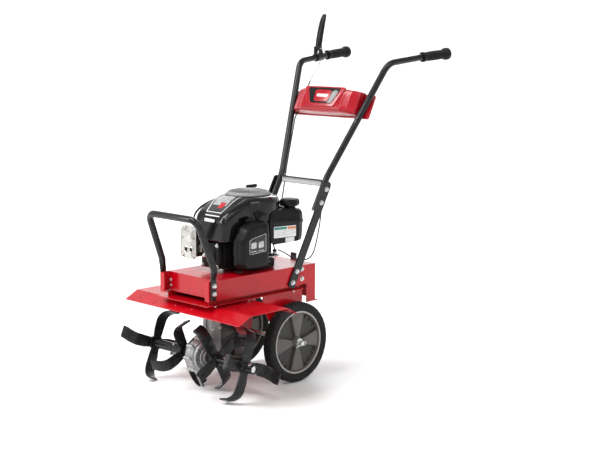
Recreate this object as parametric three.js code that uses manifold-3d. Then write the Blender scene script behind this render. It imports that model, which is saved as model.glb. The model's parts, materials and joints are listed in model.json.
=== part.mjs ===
// Front-tine petrol tiller, in millimetres, +Z up, ground at z = 0.
// The tines lead towards -Y, the handles trail towards +Y, +X is the machine's left side.
import * as THREE from "three";
import { mergeVertices } from "three/addons/utils/BufferGeometryUtils.js";
import Module from "manifold-3d";

const wasm = await Module();
wasm.setup();

// Driving dimensions
const FRAME_SHIFT_Y = -467.0; // moves the middle of the overall length to y = 0
const GAP = 0.3;
const SIDES = [["left", 1], ["right", -1]];

const WHEEL_RADIUS = 152.4;
const WHEEL_RIM_RADIUS = 120;
const WHEEL_INNER_X = 138;
const WHEEL_OUTER_X = 182;
const WHEEL_Y = 330;
const AXLE_RADIUS = 8;

const TINE_Z = 130.43;
const TINE_SHAFT_RADIUS = 12.5;
const TINE_HUB_RADIUS = 18;
const OUTER_TINE_X = { left: 238, right: 264.5 };
const INNER_TINE_X = 88;
const HUB_END_X = 286;
const OUTER_TINE_LEAN = 17;
const INNER_TINE_LEAN = { left: 57, right: 63 };
const OUTER_BLADE_STRAIGHT = 85.3;
const INNER_BLADE_STRAIGHT = 79.85;
const BLADE_BEND_RADIUS = 42;
const BLADE_THICKNESS = 5;

const WORM_Y = 52;
const WORM_GEAR_TEETH = 24;
const WORM_GEAR_RADIUS = 40;
const CASE_RADIUS = 66;
const CASE_HALF_WIDTH = 30;
const CASE_BOSS_X = 46;

const DECK_TOP = 434;
const DECK_BOTTOM = 361;
const DECK_HALF_WIDTH = 135.3;
const DECK_FRONT_Y = -43;
const DECK_REAR_Y = 461;
const SHEET = 3;
const TRAY_BOTTOM = 343;
const SHIELD_Z = 337;
const SHIELD_HALF_WIDTH = 318.5;

const ENGINE_Y = 238;
const BELT_Z = 400;
const ENGINE_GROOVE_RADIUS = 25;
const DRIVEN_GROOVE_RADIUS = 68;

const TUBE_RADIUS = 12.7;
const TUBE_WALL = 1.6;
const STRAP_LOW = [334, 376];
const STRAP_HIGH = [513, 714];
const HANDLE_POINTS = [
  [121.6, 468, 633],
  [121.6, 533, 753],
  [239, 751, 1189],
  [258, 925, 1210],
  [273, 1070, 1223],
];
const LEVER_PIVOT = [-252.34, 873.15, 1203.74];
const LEVER_PIVOT_LIFT = 34;
const LEVER_LENGTH = 152;

// Colours
const PAINT = { red: 0xb3060e, black: 0x1b1c1d };
const finish = {
  redPaint: { color: PAINT.red, roughness: 0.35, metalness: 0.1 },
  blackPaint: { color: PAINT.black, roughness: 0.45, metalness: 0.2 },
  blackPlastic: { color: 0x1a1a1b, roughness: 0.6, metalness: 0 },
  glossPlastic: { color: 0x101011, roughness: 0.2, metalness: 0 },
  redPlastic: { color: 0xb0101a, roughness: 0.3, metalness: 0 },
  greyPlastic: { color: 0x77706c, roughness: 0.6, metalness: 0 },
  tineSteel: { color: 0x2a2b2c, roughness: 0.5, metalness: 0.4 },
  castAlloy: { color: 0x8d8f90, roughness: 0.55, metalness: 0.8 },
  steel: { color: 0xa8abac, roughness: 0.35, metalness: 1 },
  castIron: { color: 0x4c4d4f, roughness: 0.6, metalness: 0.8 },
  brass: { color: 0xb08d46, roughness: 0.4, metalness: 1 },
  rubber: { color: 0x18181a, roughness: 0.85, metalness: 0 },
  filterPaper: { color: 0xd9d2bd, roughness: 0.9, metalness: 0 },
};

// Solid helpers
const v = (x, y, z) => new THREE.Vector3(x, y, z);

function toSolid(geometry) {
  const plain = geometry.clone();
  plain.deleteAttribute("normal");
  plain.deleteAttribute("uv");
  const merged = mergeVertices(plain, 1e-3);
  return new wasm.Manifold(new wasm.Mesh({
    numProp: 3,
    vertProperties: new Float32Array(merged.attributes.position.array),
    triVerts: new Uint32Array(merged.index.array),
  }));
}

function toGeometry(solid) {
  const mesh = solid.getMesh();
  const geometry = new THREE.BufferGeometry();
  geometry.setAttribute("position", new THREE.BufferAttribute(new Float32Array(mesh.vertProperties), 3));
  geometry.setIndex(new THREE.BufferAttribute(new Uint32Array(mesh.triVerts), 1));
  geometry.computeVertexNormals();
  return geometry;
}

function join(...geometries) {
  return toGeometry(geometries.map(toSolid).reduce((whole, piece) => whole.add(piece)));
}

function cut(geometry, ...tools) {
  return toGeometry(tools.map(toSolid).reduce((whole, tool) => whole.subtract(tool), toSolid(geometry)));
}

// Turns a closed surface the right way out when its profile ran the other way.
function outward(geometry) {
  const index = geometry.index;
  const corner = (i) => new THREE.Vector3().fromBufferAttribute(geometry.attributes.position, index.getX(i));
  let volume = 0;
  for (let i = 0; i < index.count; i += 3) {
    volume += corner(i).dot(corner(i + 1).cross(corner(i + 2))) / 6;
  }
  if (volume < 0) {
    const flipped = Array.from(index.array, (value, i) => index.getX(i + [0, 1, -1][i % 3]));
    geometry.setIndex(flipped);
  }
  return geometry;
}

function box(x0, x1, y0, y1, z0, z1) {
  const geometry = new THREE.BoxGeometry(x1 - x0, y1 - y0, z1 - z0);
  return geometry.translate((x0 + x1) / 2, (y0 + y1) / 2, (z0 + z1) / 2);
}

const AXIS_TURNS = {
  x: new THREE.Matrix4().makeBasis(v(0, 1, 0), v(0, 0, 1), v(1, 0, 0)),
  y: new THREE.Matrix4().makeBasis(v(0, 0, 1), v(1, 0, 0), v(0, 1, 0)),
  z: new THREE.Matrix4(),
};

// A polygon drawn across an axis and pulled along it. Its points are (y, z) for x, (z, x) for y, (x, y) for z.
function prism(axis, points, low, high) {
  const shape = new THREE.Shape(points.map(([a, b]) => new THREE.Vector2(a, b)));
  const geometry = new THREE.ExtrudeGeometry(shape, { depth: high - low, bevelEnabled: false, curveSegments: 8 });
  return geometry.translate(0, 0, low).applyMatrix4(AXIS_TURNS[axis]);
}

// A shape with eased edges pulled along an axis.
function eased(axis, points, low, high, ease, segments = 2) {
  const shape = new THREE.Shape(points.map(([a, b]) => new THREE.Vector2(a, b)));
  const geometry = new THREE.ExtrudeGeometry(shape, {
    depth: high - low - 2 * ease,
    bevelEnabled: true,
    bevelThickness: ease,
    bevelSize: ease,
    bevelOffset: -ease,
    bevelSegments: segments,
  });
  return geometry.translate(0, 0, low + ease).applyMatrix4(AXIS_TURNS[axis]);
}

// A round profile of [radius, height] points turned about an axis through a centre.
function turned(axis, centre, profile, segments = 24) {
  const points = profile.map(([radius, height]) => new THREE.Vector2(radius, height));
  const geometry = new THREE.LatheGeometry(points, segments);
  geometry.rotateX(Math.PI / 2).applyMatrix4(AXIS_TURNS[axis]);
  return outward(geometry.translate(...centre));
}

function disc(axis, centre, radius, low, high, segments = 24) {
  return turned(axis, centre, [[0, low], [radius, low], [radius, high], [0, high]], segments);
}

function sleeve(axis, centre, inner, outer, low, high, segments = 24) {
  const profile = [[inner, low], [outer, low], [outer, high], [inner, high], [inner, low]];
  return turned(axis, centre, profile, segments);
}

function rod(from, to, radius, segments = 12) {
  const along = v(...to).sub(v(...from));
  const geometry = new THREE.CylinderGeometry(radius, radius, along.length(), segments);
  geometry.translate(0, along.length() / 2, 0);
  geometry.applyQuaternion(new THREE.Quaternion().setFromUnitVectors(v(0, 1, 0), along.normalize()));
  return geometry.translate(...from);
}

// A run of straight lengths whose corners are rounded by arcs.
function roundedRun(corners, radius, arcSegments = 4) {
  const points = corners.map((corner) => v(...corner));
  const run = [points[0]];
  for (let i = 1; i < points.length - 1; i += 1) {
    const back = points[i - 1].clone().sub(points[i]).normalize();
    const ahead = points[i + 1].clone().sub(points[i]).normalize();
    const half = back.angleTo(ahead) / 2;
    const reach = radius / Math.tan(half);
    const centre = points[i].clone().add(back.clone().add(ahead).normalize().multiplyScalar(radius / Math.sin(half)));
    const start = points[i].clone().addScaledVector(back, reach).sub(centre);
    const axis = start.clone().cross(points[i].clone().addScaledVector(ahead, reach).sub(centre)).normalize();
    for (let k = 0; k <= arcSegments; k += 1) {
      const turn = (k / arcSegments) * (Math.PI - 2 * half);
      run.push(start.clone().applyAxisAngle(axis, turn).add(centre));
    }
  }
  run.push(points[points.length - 1]);
  return run;
}

class StationRun extends THREE.Curve {
  constructor(points) {
    super();
    this.points = points;
  }

  getPoint(t, target = new THREE.Vector3()) {
    return target.copy(this.points[Math.round(t * (this.points.length - 1))]);
  }

  getPointAt(t, target) {
    return this.getPoint(t, target);
  }

  getTangentAt(t, target = new THREE.Vector3()) {
    const i = Math.round(t * (this.points.length - 1));
    const last = this.points.length - 1;
    const before = this.points[Math.max(i - 1, 0)];
    const here = this.points[i];
    const after = this.points[Math.min(i + 1, last)];
    const arriving = i > 0 ? here.clone().sub(before).normalize() : v(0, 0, 0);
    const leaving = i < last ? after.clone().sub(here).normalize() : v(0, 0, 0);
    return target.copy(arriving.add(leaving).normalize());
  }
}

function pipe(stations, radius, wall = 0, sides = 8) {
  const shape = new THREE.Shape();
  shape.absarc(0, 0, radius, 0, 2 * Math.PI, false);
  if (wall > 0) {
    const hole = new THREE.Path();
    hole.absarc(0, 0, radius - wall, 0, 2 * Math.PI, true);
    shape.holes.push(hole);
  }
  return new THREE.ExtrudeGeometry(shape, {
    steps: stations.length - 1,
    curveSegments: sides / 2,
    bevelEnabled: false,
    extrudePath: new StationRun(stations),
  });
}

// A flat strip through stations of { at, across, face }: across is the half width, face the unit normal.
function strip(stations, thickness) {
  const positions = [];
  for (const { at, across, face } of stations) {
    for (const [side, lift] of [[-1, -1], [1, -1], [1, 1], [-1, 1]]) {
      const corner = at.clone().addScaledVector(across, side).addScaledVector(face, (lift * thickness) / 2);
      positions.push(...corner.toArray());
    }
  }
  const faces = [[0, 1, 2], [0, 2, 3]];
  for (let i = 0; i < stations.length - 1; i += 1) {
    for (let k = 0; k < 4; k += 1) {
      const a = 4 * i + k;
      const b = 4 * i + ((k + 1) % 4);
      faces.push([a, a + 4, b], [b, a + 4, b + 4]);
    }
  }
  const end = 4 * (stations.length - 1);
  faces.push([end, end + 2, end + 1], [end, end + 3, end + 2]);
  const geometry = new THREE.BufferGeometry();
  geometry.setAttribute("position", new THREE.BufferAttribute(new Float32Array(positions), 3));
  geometry.setIndex(faces.flat());
  geometry.computeVertexNormals();
  return outward(geometry);
}

const group = new THREE.Group();
const machine = new THREE.Group();
machine.position.set(0, FRAME_SHIFT_Y, 0);
group.add(machine);

function place(name, geometry, look, parent = machine) {
  const mesh = new THREE.Mesh(geometry, new THREE.MeshStandardMaterial(look));
  mesh.name = name;
  parent.add(mesh);
  return mesh;
}

const mirrored = (side, low, high) => (side > 0 ? [low, high] : [-high, -low]);

// Deck: an inverted tray of sheet steel with deep side panels and rear posts
function sidePanel(side) {
  const outline = [
    [-78, DECK_BOTTOM], [413, DECK_BOTTOM], [413, 288], [DECK_REAR_Y, 288], [DECK_REAR_Y, DECK_TOP], [-78, DECK_TOP],
  ];
  const [low, high] = mirrored(side, DECK_HALF_WIDTH - SHEET, DECK_HALF_WIDTH);
  const [lipLow, lipHigh] = mirrored(side, DECK_HALF_WIDTH - 22, DECK_HALF_WIDTH - 1);
  return join(
    prism("x", outline, low, high),
    box(lipLow, lipHigh, -78, -78 + SHEET, DECK_BOTTOM, DECK_TOP),
    box(lipLow, lipHigh, DECK_FRONT_Y, 410, DECK_BOTTOM, DECK_BOTTOM + SHEET),
    box(lipLow, lipHigh, DECK_REAR_Y - SHEET, DECK_REAR_Y, 288, DECK_TOP),
    box(lipLow, lipHigh, DECK_REAR_Y - SHEET, DECK_REAR_Y + 16, 288, 291),
  );
}

const inner = DECK_HALF_WIDTH - 1;
const deckBody = join(
  box(-inner, inner, DECK_FRONT_Y, DECK_REAR_Y, DECK_TOP - SHEET, DECK_TOP),
  box(-inner, inner, DECK_FRONT_Y, DECK_FRONT_Y + SHEET, DECK_BOTTOM + 2, DECK_TOP),
  sidePanel(1),
  sidePanel(-1),
);
place("deck_frame", cut(deckBody, disc("z", [0, ENGINE_Y, 0], 34, 420, 440)), finish.redPaint);

// Lower tray: carries the deck on two webs and closes the belt space from below
const webs = [];
for (const side of [1, -1]) {
  const [low, high] = mirrored(side, 112, 115);
  const [flangeLow, flangeHigh] = mirrored(side, 112, 131);
  webs.push(box(low, high, -60, 394, TRAY_BOTTOM + 1, 360.7));
  webs.push(box(flangeLow, flangeHigh, -60, 394, 357.7, 360.7));
}
const trayBody = join(box(-140, 140, -87, 394, TRAY_BOTTOM, TRAY_BOTTOM + SHEET), ...webs);
const traySlots = [
  disc("z", [0, WORM_Y, 0], 14, 330, 350, 16),
  box(-70, 70, 180, 330, 330, 350),
];
place("lower_tray", cut(trayBody, ...traySlots), finish.redPaint);

// Tine shield: one sheet folded down at the front and at the rear
const shieldSection = [
  [-45, SHIELD_Z], [-100, 309], [-101.3, 306.8], [-44.4, 334], [134.4, 334], [180, 307.6], [181.3, 310], [135, SHIELD_Z],
];
const shieldBody = prism("x", shieldSection, -SHIELD_HALF_WIDTH, SHIELD_HALF_WIDTH);
place("tine_shield", cut(shieldBody, disc("z", [0, WORM_Y, 0], 14, 325, 345, 16)), finish.redPaint);

// Wheel brackets, axle and wheels
const bracketOutline = [
  [196, 341.5], [192, 300], [268, 176], [300, 138], [330, 128], [356, 136], [366, 160], [400, 300], [400, 341.5],
];
for (const [name, side] of SIDES) {
  const [low, high] = mirrored(side, 122, 126);
  const [flangeLow, flangeHigh] = mirrored(side, 96, 125);
  const plate = join(
    prism("x", bracketOutline, low, high),
    box(flangeLow, flangeHigh, 196, 400, 338.5, 342.5),
  );
  const bore = disc("x", [0, WHEEL_Y, WHEEL_RADIUS], AXLE_RADIUS + GAP, -140, 140, 16);
  place(`wheel_bracket_${name}`, cut(plate, bore), finish.redPaint);
}
place("wheel_axle", disc("x", [0, WHEEL_Y, WHEEL_RADIUS], AXLE_RADIUS, -199, 199, 16), finish.steel);

const tyreProfile = [
  [WHEEL_RIM_RADIUS, -17], [141, -22], [148, -19], [WHEEL_RADIUS, -10],
  [WHEEL_RADIUS, 10], [148, 19], [141, 22], [WHEEL_RIM_RADIUS, 17], [WHEEL_RIM_RADIUS, -17],
];
const wheelMiddle = (WHEEL_INNER_X + WHEEL_OUTER_X) / 2;

function wheelHub() {
  const rim = turned("x", [0, 0, 0], [
    [108, -17], [119.5, -17], [119.5, 17], [108, 17], [112, 0], [108, -17],
  ], 24);
  const web = sleeve("x", [0, 0, 0], 20, 111, -3, 3, 24);
  const centre = sleeve("x", [0, 0, 0], AXLE_RADIUS + GAP, 23, -16, 19, 16);
  const spokes = [];
  for (let k = 0; k < 4; k += 1) {
    const wedge = prism("x", [[-6, 18], [6, 18], [34, 108], [-34, 108]], -9, 11);
    spokes.push(wedge.rotateX((k * Math.PI) / 2));
  }
  return join(rim, web, centre, ...spokes);
}

for (const [name, side] of SIDES) {
  const tyre = turned("x", [0, 0, 0], tyreProfile, 40);
  const hub = wheelHub();
  if (side < 0) {
    hub.rotateZ(Math.PI);
  }
  for (const [label, geometry, look] of [["tyre", tyre, finish.rubber], ["wheel_hub", hub, finish.greyPlastic]]) {
    const mesh = place(`${label}_${name}`, geometry, look);
    mesh.position.set(side * wheelMiddle, WHEEL_Y, WHEEL_RADIUS);
  }
}

// Bumper bar: one tube with flattened feet outside the side panels
const bumperRun = roundedRun([
  [145, -60, 447], [145, -60, 476], [135, -130, 659], [-135, -130, 659], [-145, -60, 476], [-145, -60, 447],
], 38, 4);
const bumperFeet = [1, -1].map((side) => box(...mirrored(side, DECK_HALF_WIDTH + GAP, 145), -73, -47, 366, 452));
place("bumper", join(pipe(bumperRun, TUBE_RADIUS, TUBE_WALL), ...bumperFeet), finish.blackPaint);

// Lower handle straps
const strapDirection = v(0, STRAP_HIGH[0] - STRAP_LOW[0], STRAP_HIGH[1] - STRAP_LOW[1]).normalize();
function strapPoint(along, off) {
  return [
    STRAP_LOW[0] + along * strapDirection.y - off * strapDirection.z,
    STRAP_LOW[1] + along * strapDirection.z + off * strapDirection.y,
  ];
}
const strapOutline = [
  strapPoint(-20, 12), strapPoint(-14, 18), strapPoint(404, 18), strapPoint(414, 10), strapPoint(414, -10),
  strapPoint(404, -18), strapPoint(-14, -18), strapPoint(-20, -12),
];
for (const [name, side] of SIDES) {
  const [low, high] = mirrored(side, DECK_HALF_WIDTH + GAP, 142.4);
  place(`handle_strap_${name}`, prism("x", strapOutline, low, high), finish.blackPaint);
}

// Upper handle tubes, grips and cross brace
function handleStations(side) {
  const corners = HANDLE_POINTS.map(([x, y, z]) => [side * x, y, z]);
  const straight = roundedRun([corners[0], corners[1], corners[2]], 200, 2);
  const bent = roundedRun([corners[1], corners[2], corners[3]], 62, 6);
  const finishRun = roundedRun([corners[2], corners[3], corners[4]], 300, 2);
  return [...straight.slice(0, -1), ...bent.slice(1, -1), ...finishRun.slice(1)];
}

for (const [name, side] of SIDES) {
  place(`upper_handle_${name}`, pipe(handleStations(side), TUBE_RADIUS, TUBE_WALL), finish.blackPaint);
  const start = v(side * 258, 925, 1210);
  const end = v(side * 273, 1070, 1223);
  const along = end.clone().sub(start);
  const reach = along.length();
  const bore = TUBE_RADIUS + GAP;
  const grip = turned("y", [0, 0, 0], [
    [bore, 12], [17.5, 12], [17.5, 17], [15.5, 20], [16.5, 118], [20, 126], [22, 134], [22, 146], [17, 150],
    [0, 150], [0, reach + GAP], [bore, reach + GAP], [bore, 12],
  ], 16);
  grip.applyQuaternion(new THREE.Quaternion().setFromUnitVectors(v(0, 1, 0), along.normalize()));
  place(`grip_${name}`, grip.translate(...start), finish.rubber);
}

const braceX = 107;
place("handle_brace", box(-braceX, braceX, 519, 524, 722, 748), finish.blackPaint);

// Console between the handle tubes, in a frame leaning with them
const handleLean = Math.atan2(221, 444);
const consoleFrame = new THREE.Group();
consoleFrame.position.set(0, 672, 1030);
consoleFrame.rotation.x = -handleLean;
machine.add(consoleFrame);

const frontOutline = (inset) => [
  [16, -168 + inset], [-20, -166 + inset], [-38 + inset, -134], [-44 + inset, -94],
  [-44 + inset, 94], [-38 + inset, 134], [-20, 166 - inset], [16, 168 - inset],
];
const swap = (points) => points.map(([depth, across]) => [across, depth]).reverse();
const shellOuter = join(
  prism("z", swap(frontOutline(0)), -46, 56),
  eased("y", [[-50, -214], [50, -214], [50, 214], [-50, 214]], 13.2, 24, 3, 1),
);
const shellInner = prism("z", swap(frontOutline(6)).map(([x, y]) => [x * 0.98, y + (y > 10 ? 14 : 0)]), -42, 52);
const badgeRecess = prism("y", [[-15, -57], [43, -88], [43, 88], [-15, 57]], -50, -40.4);
const cableWays = [box(-164, -148, 2, 30, -60, 60), box(148, 164, 2, 30, -60, 60)];
const consoleShell = cut(shellOuter, shellInner, badgeRecess, ...cableWays);
place("console_shell", consoleShell, finish.redPlastic, consoleFrame);
place("console_panel", prism("y", [[-14.6, -56.4], [42.6, -87.2], [42.6, 87.2], [-14.6, 56.4]], -43, -40.7),
  finish.glossPlastic, consoleFrame);

// Clutch lever on the right handle
const leverFrame = new THREE.Group();
leverFrame.position.set(...LEVER_PIVOT);
leverFrame.quaternion.setFromUnitVectors(v(0, 1, 0), v(-19, 174, 21).normalize());
machine.add(leverFrame);
const clampBody = join(
  sleeve("y", [0, 0, 0], TUBE_RADIUS + GAP, 18, -20, 20, 20),
  prism("x", [[-14, 8], [14, 8], [9, 44], [-9, 44]], -15, -11),
  prism("x", [[-14, 8], [14, 8], [9, 44], [-9, 44]], 11, 15),
);
const pinBore = disc("x", [0, 0, LEVER_PIVOT_LIFT], 4 + GAP, -20, 20, 12);
place("lever_bracket", cut(clampBody, pinBore), finish.blackPaint, leverFrame);
place("lever_pin", disc("x", [0, 0, LEVER_PIVOT_LIFT], 4, -17, 17, 12), finish.steel, leverFrame);
const leverBlade = join(
  prism("x", [[-13, -7], [-5, -14], [8, -10], [8, 8], [7, 110], [13, LEVER_LENGTH - 4], [9, LEVER_LENGTH],
    [0, LEVER_LENGTH - 4], [-7, 110], [-12, 20]], -9, 9),
  prism("x", [[-8, 30], [8, 30], [7, 110], [12, LEVER_LENGTH - 8], [0, LEVER_LENGTH - 8], [-7, 110]], -12, 12),
);
const leverBore = disc("x", [0, 0, 0], 4 + GAP, -20, 20, 12);
const lever = place("clutch_lever", cut(leverBlade, leverBore), finish.blackPlastic, leverFrame);
lever.position.set(0, 0, LEVER_PIVOT_LIFT);
lever.rotation.x = -THREE.MathUtils.degToRad(21);

// Engine block, cylinder and covers
const crankcaseSolid = join(
  disc("z", [0, ENGINE_Y, 0], 95, DECK_TOP + GAP, 452, 28),
  disc("z", [0, ENGINE_Y, 0], 84, 450, 552, 28),
  box(-52, 52, 150, 200, 446, 548),
  box(70, 88, 230, 290, 440, 470),
);
place("crankcase", cut(crankcaseSolid, disc("z", [0, ENGINE_Y, 0], 11 + GAP, 420, 560, 20)), finish.blackPaint);

const cylinderParts = [box(-40, 40, 62, 149.7, 458, 536), box(-48, 48, 46, 66, 452, 544)];
for (let k = 0; k < 6; k += 1) {
  cylinderParts.push(box(-54, 54, 74 + 12 * k, 79 + 12 * k, 448, 548));
}
place("cylinder_block", join(...cylinderParts), finish.castAlloy);
place("spark_plug", turned("y", [12, 0, 504], [
  [0, 45.6], [9, 45.6], [9, 39], [5, 37], [5, 24], [8, 22], [8, 8], [5, 4], [0, 4],
], 12), finish.steel);

function shroudOutline(inset) {
  const points = [[-86 + inset, 42 + inset], [86 - inset, 42 + inset]];
  const radius = 119 - inset;
  for (let k = 0; k <= 16; k += 1) {
    const angle = THREE.MathUtils.degToRad(-38 + (256 * k) / 16);
    points.push([radius * Math.cos(angle), ENGINE_Y + radius * Math.sin(angle)]);
  }
  return points;
}
const shroudSolid = eased("z", shroudOutline(0), 530, 708, 24, 3);
const slopeCut = (lift) => prism("x", [[-20, 640 + lift], [30, 646 + lift], [60, 662 + lift], [150, 696 + lift],
  [168, 709 + lift], [168, 760], [-20, 760]], -160, 160);
const shroudHollow = eased("z", shroudOutline(5), 500, 703, 22, 1);
const grilleSeat = disc("z", [0, ENGINE_Y, 0], 72, 690, 720, 32);
const shroudShell = toGeometry(
  toSolid(shroudSolid)
    .subtract(toSolid(slopeCut(0)))
    .subtract(toSolid(shroudHollow).subtract(toSolid(slopeCut(-4))))
    .subtract(toSolid(box(-200, 200, -50, 500, 480, 553)))
    .subtract(toSolid(grilleSeat)),
);
place("blower_shroud", shroudShell, finish.glossPlastic);
place("cooling_grille", turned("z", [0, ENGINE_Y, 0], [
  [0, 718], [56, 718], [66, 712], [71.6, 704], [71.6, 709], [84, 708.4], [82, 716], [70, 725], [0, 728],
], 24), finish.greyPlastic);

// Flywheel, crankshaft and belt drive
place("crankshaft", turned("z", [0, ENGINE_Y, 0], [
  [0, 386], [11, 386], [11, 562], [9, 566], [9, 612], [0, 612],
], 16), finish.steel);
place("flywheel", turned("z", [0, ENGINE_Y, 0], [
  [11 + GAP, 568], [90, 568], [90, 592], [60, 592], [56, 580], [11 + GAP, 580], [11 + GAP, 568],
], 24), finish.castIron);

function grooved(centre, bore, groove, rim, hub) {
  return turned("z", centre, [
    [bore, BELT_Z - hub], [groove * 0.55, BELT_Z - hub], [groove * 0.55, BELT_Z - 8], [rim, BELT_Z - 8],
    [rim, BELT_Z - 5.5], [groove, BELT_Z - 5], [groove, BELT_Z + 5], [rim, BELT_Z + 5.5],
    [rim, BELT_Z + 8], [bore, BELT_Z + 8], [bore, BELT_Z - hub],
  ], 20);
}
place("engine_pulley", grooved([0, ENGINE_Y, 0], 11 + GAP, ENGINE_GROOVE_RADIUS, 33, 12), finish.steel);
place("driven_pulley", grooved([0, WORM_Y, 0], 8 + GAP, DRIVEN_GROOVE_RADIUS, 76, 14), finish.steel);

function beltLoop(grow) {
  const large = DRIVEN_GROOVE_RADIUS + grow;
  const small = ENGINE_GROOVE_RADIUS + grow;
  const spread = Math.acos((large - small) / (ENGINE_Y - WORM_Y));
  const points = [];
  for (let k = 0; k <= 16; k += 1) {
    const angle = Math.PI / 2 + spread + (k / 16) * (2 * Math.PI - 2 * spread);
    points.push([large * Math.cos(angle), WORM_Y + large * Math.sin(angle)]);
  }
  for (let k = 0; k <= 10; k += 1) {
    const angle = Math.PI / 2 - spread + (k / 10) * 2 * spread;
    points.push([small * Math.cos(angle), ENGINE_Y + small * Math.sin(angle)]);
  }
  return points;
}
place("drive_belt", cut(prism("z", beltLoop(7), BELT_Z - 4.5, BELT_Z + 4.5), prism("z", beltLoop(1), 390, 410)),
  finish.rubber);

const IDLER_AT = [-86, 158];
const IDLER_PIVOT = [-92, 238];
place("idler_pulley", sleeve("z", [...IDLER_AT, 0], 5 + GAP, 17, 393, 407, 20), finish.steel);
const idlerLever = join(
  prism("z", [[-102, 146], [-70, 146], [-70, 170], [-80, 246], [-80, 300], [-96, 300], [-104, 246]], 410, 414),
  disc("z", [...IDLER_AT, 0], 5, 390, 411, 12),
  disc("z", [...IDLER_PIVOT, 0], 9, 402, 411, 16),
);
const idlerBore = disc("z", [...IDLER_PIVOT, 0], 5 + GAP, 380, 420, 12);
place("idler_arm", cut(idlerLever, idlerBore), finish.steel);
place("idler_spring", rod([-88, 304, 412], [-92, 372, 412], 6, 10), finish.steel);

// Worm drive in its split alloy case
const wormProfile = [[0, 104], [8, 104], [8, TINE_Z - 20], [9, TINE_Z - 19]];
for (const ring of [-1.5, -0.5, 0.5, 1.5]) {
  const middle = TINE_Z + (ring * 2 * Math.PI * WORM_GEAR_RADIUS) / WORM_GEAR_TEETH;
  wormProfile.push([9, middle - 2], [12.6, middle - 1.6], [12.6, middle + 1.6], [9, middle + 2]);
}
wormProfile.push([9, TINE_Z + 19], [8, TINE_Z + 20], [8, 414], [0, 414]);
place("worm_shaft", turned("z", [0, WORM_Y, 0], wormProfile, 8), finish.steel);

function wormWheelOutline() {
  const points = [];
  for (let k = 0; k < WORM_GEAR_TEETH; k += 1) {
    for (const [part, radius] of [[-0.29, 35], [-0.15, 39], [0.15, 39], [0.29, 35]]) {
      const angle = ((k + part) * 2 * Math.PI) / WORM_GEAR_TEETH;
      points.push([radius * Math.cos(angle), TINE_Z + radius * Math.sin(angle)]);
    }
  }
  return points;
}
const wormWheelBlank = prism("x", wormWheelOutline(), -8, 8);
const shaftBore = disc("x", [0, 0, TINE_Z], TINE_SHAFT_RADIUS + GAP, -400, 400, 16);
place("worm_wheel", cut(wormWheelBlank, shaftBore), finish.brass);

for (const [name, side] of SIDES) {
  const half = (low, high) => mirrored(side, low, high);
  const pieces = [
    disc("x", [0, 0, TINE_Z], CASE_RADIUS, ...half(0.15, 20), 24),
    disc("x", [0, 0, TINE_Z], 56, ...half(18, CASE_HALF_WIDTH), 20),
    disc("x", [0, 0, TINE_Z], 36, ...half(28, 38), 16),
    disc("x", [0, 0, TINE_Z], 25, ...half(36, CASE_BOSS_X), 16),
    prism("y", [[100, side * 0.15], [100, side * 20], [112, side * 27], [326, side * 22], [326, side * 0.15]],
      WORM_Y - 24, WORM_Y + 24),
    box(...half(0.15, 44), WORM_Y - 38, WORM_Y + 38, 323, 333.7),
  ];
  for (let k = 0; k < 7; k += 1) {
    const angle = THREE.MathUtils.degToRad(100 + 40 * k);
    const boss = [0, 66 * Math.cos(angle), TINE_Z + 66 * Math.sin(angle)];
    pieces.push(disc("x", boss, 8, ...half(0.15, 15), 8));
  }
  const hollows = [
    disc("x", [0, 0, TINE_Z], 47, ...half(-10, 24), 20),
    disc("z", [0, WORM_Y, 0], 18, 102.5, 156, 12),
    disc("z", [0, WORM_Y, 0], 10, 150, 340, 12),
    shaftBore,
  ];
  place(`gear_case_${name}`, cut(join(...pieces), ...hollows), finish.castAlloy);
}

// Tine shaft and four bolo tine sets
place("tine_shaft", disc("x", [0, 0, TINE_Z], TINE_SHAFT_RADIUS, -282, 282, 16), finish.steel);

function blade(bendSide, straight) {
  const stations = [];
  const add = (radial, axial, sweep, halfWidth, tilt) => {
    stations.push({
      at: v(bendSide * axial, sweep, -radial),
      across: v(0, halfWidth, halfWidth * sweep * 0.006),
      face: v(bendSide * Math.cos(tilt), 0, Math.sin(tilt)),
    });
  };
  add(14, 0, 0, 17, 0);
  add(56, 0, 0, 22, 0);
  add(straight, 0, -2, 23, 0);
  for (const turn of [20, 40, 60, 76]) {
    const angle = THREE.MathUtils.degToRad(turn);
    const sweep = -2 - 14 * (turn / 76) ** 1.5;
    add(straight + BLADE_BEND_RADIUS * Math.sin(angle), BLADE_BEND_RADIUS * (1 - Math.cos(angle)), sweep,
      23, angle);
  }
  const last = THREE.MathUtils.degToRad(76);
  const tipReach = 20;
  add(straight + BLADE_BEND_RADIUS * Math.sin(last) + tipReach * Math.cos(last),
    BLADE_BEND_RADIUS * (1 - Math.cos(last)) + tipReach * Math.sin(last), -20, 21.5, last);
  return strip(stations, BLADE_THICKNESS);
}

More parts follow.
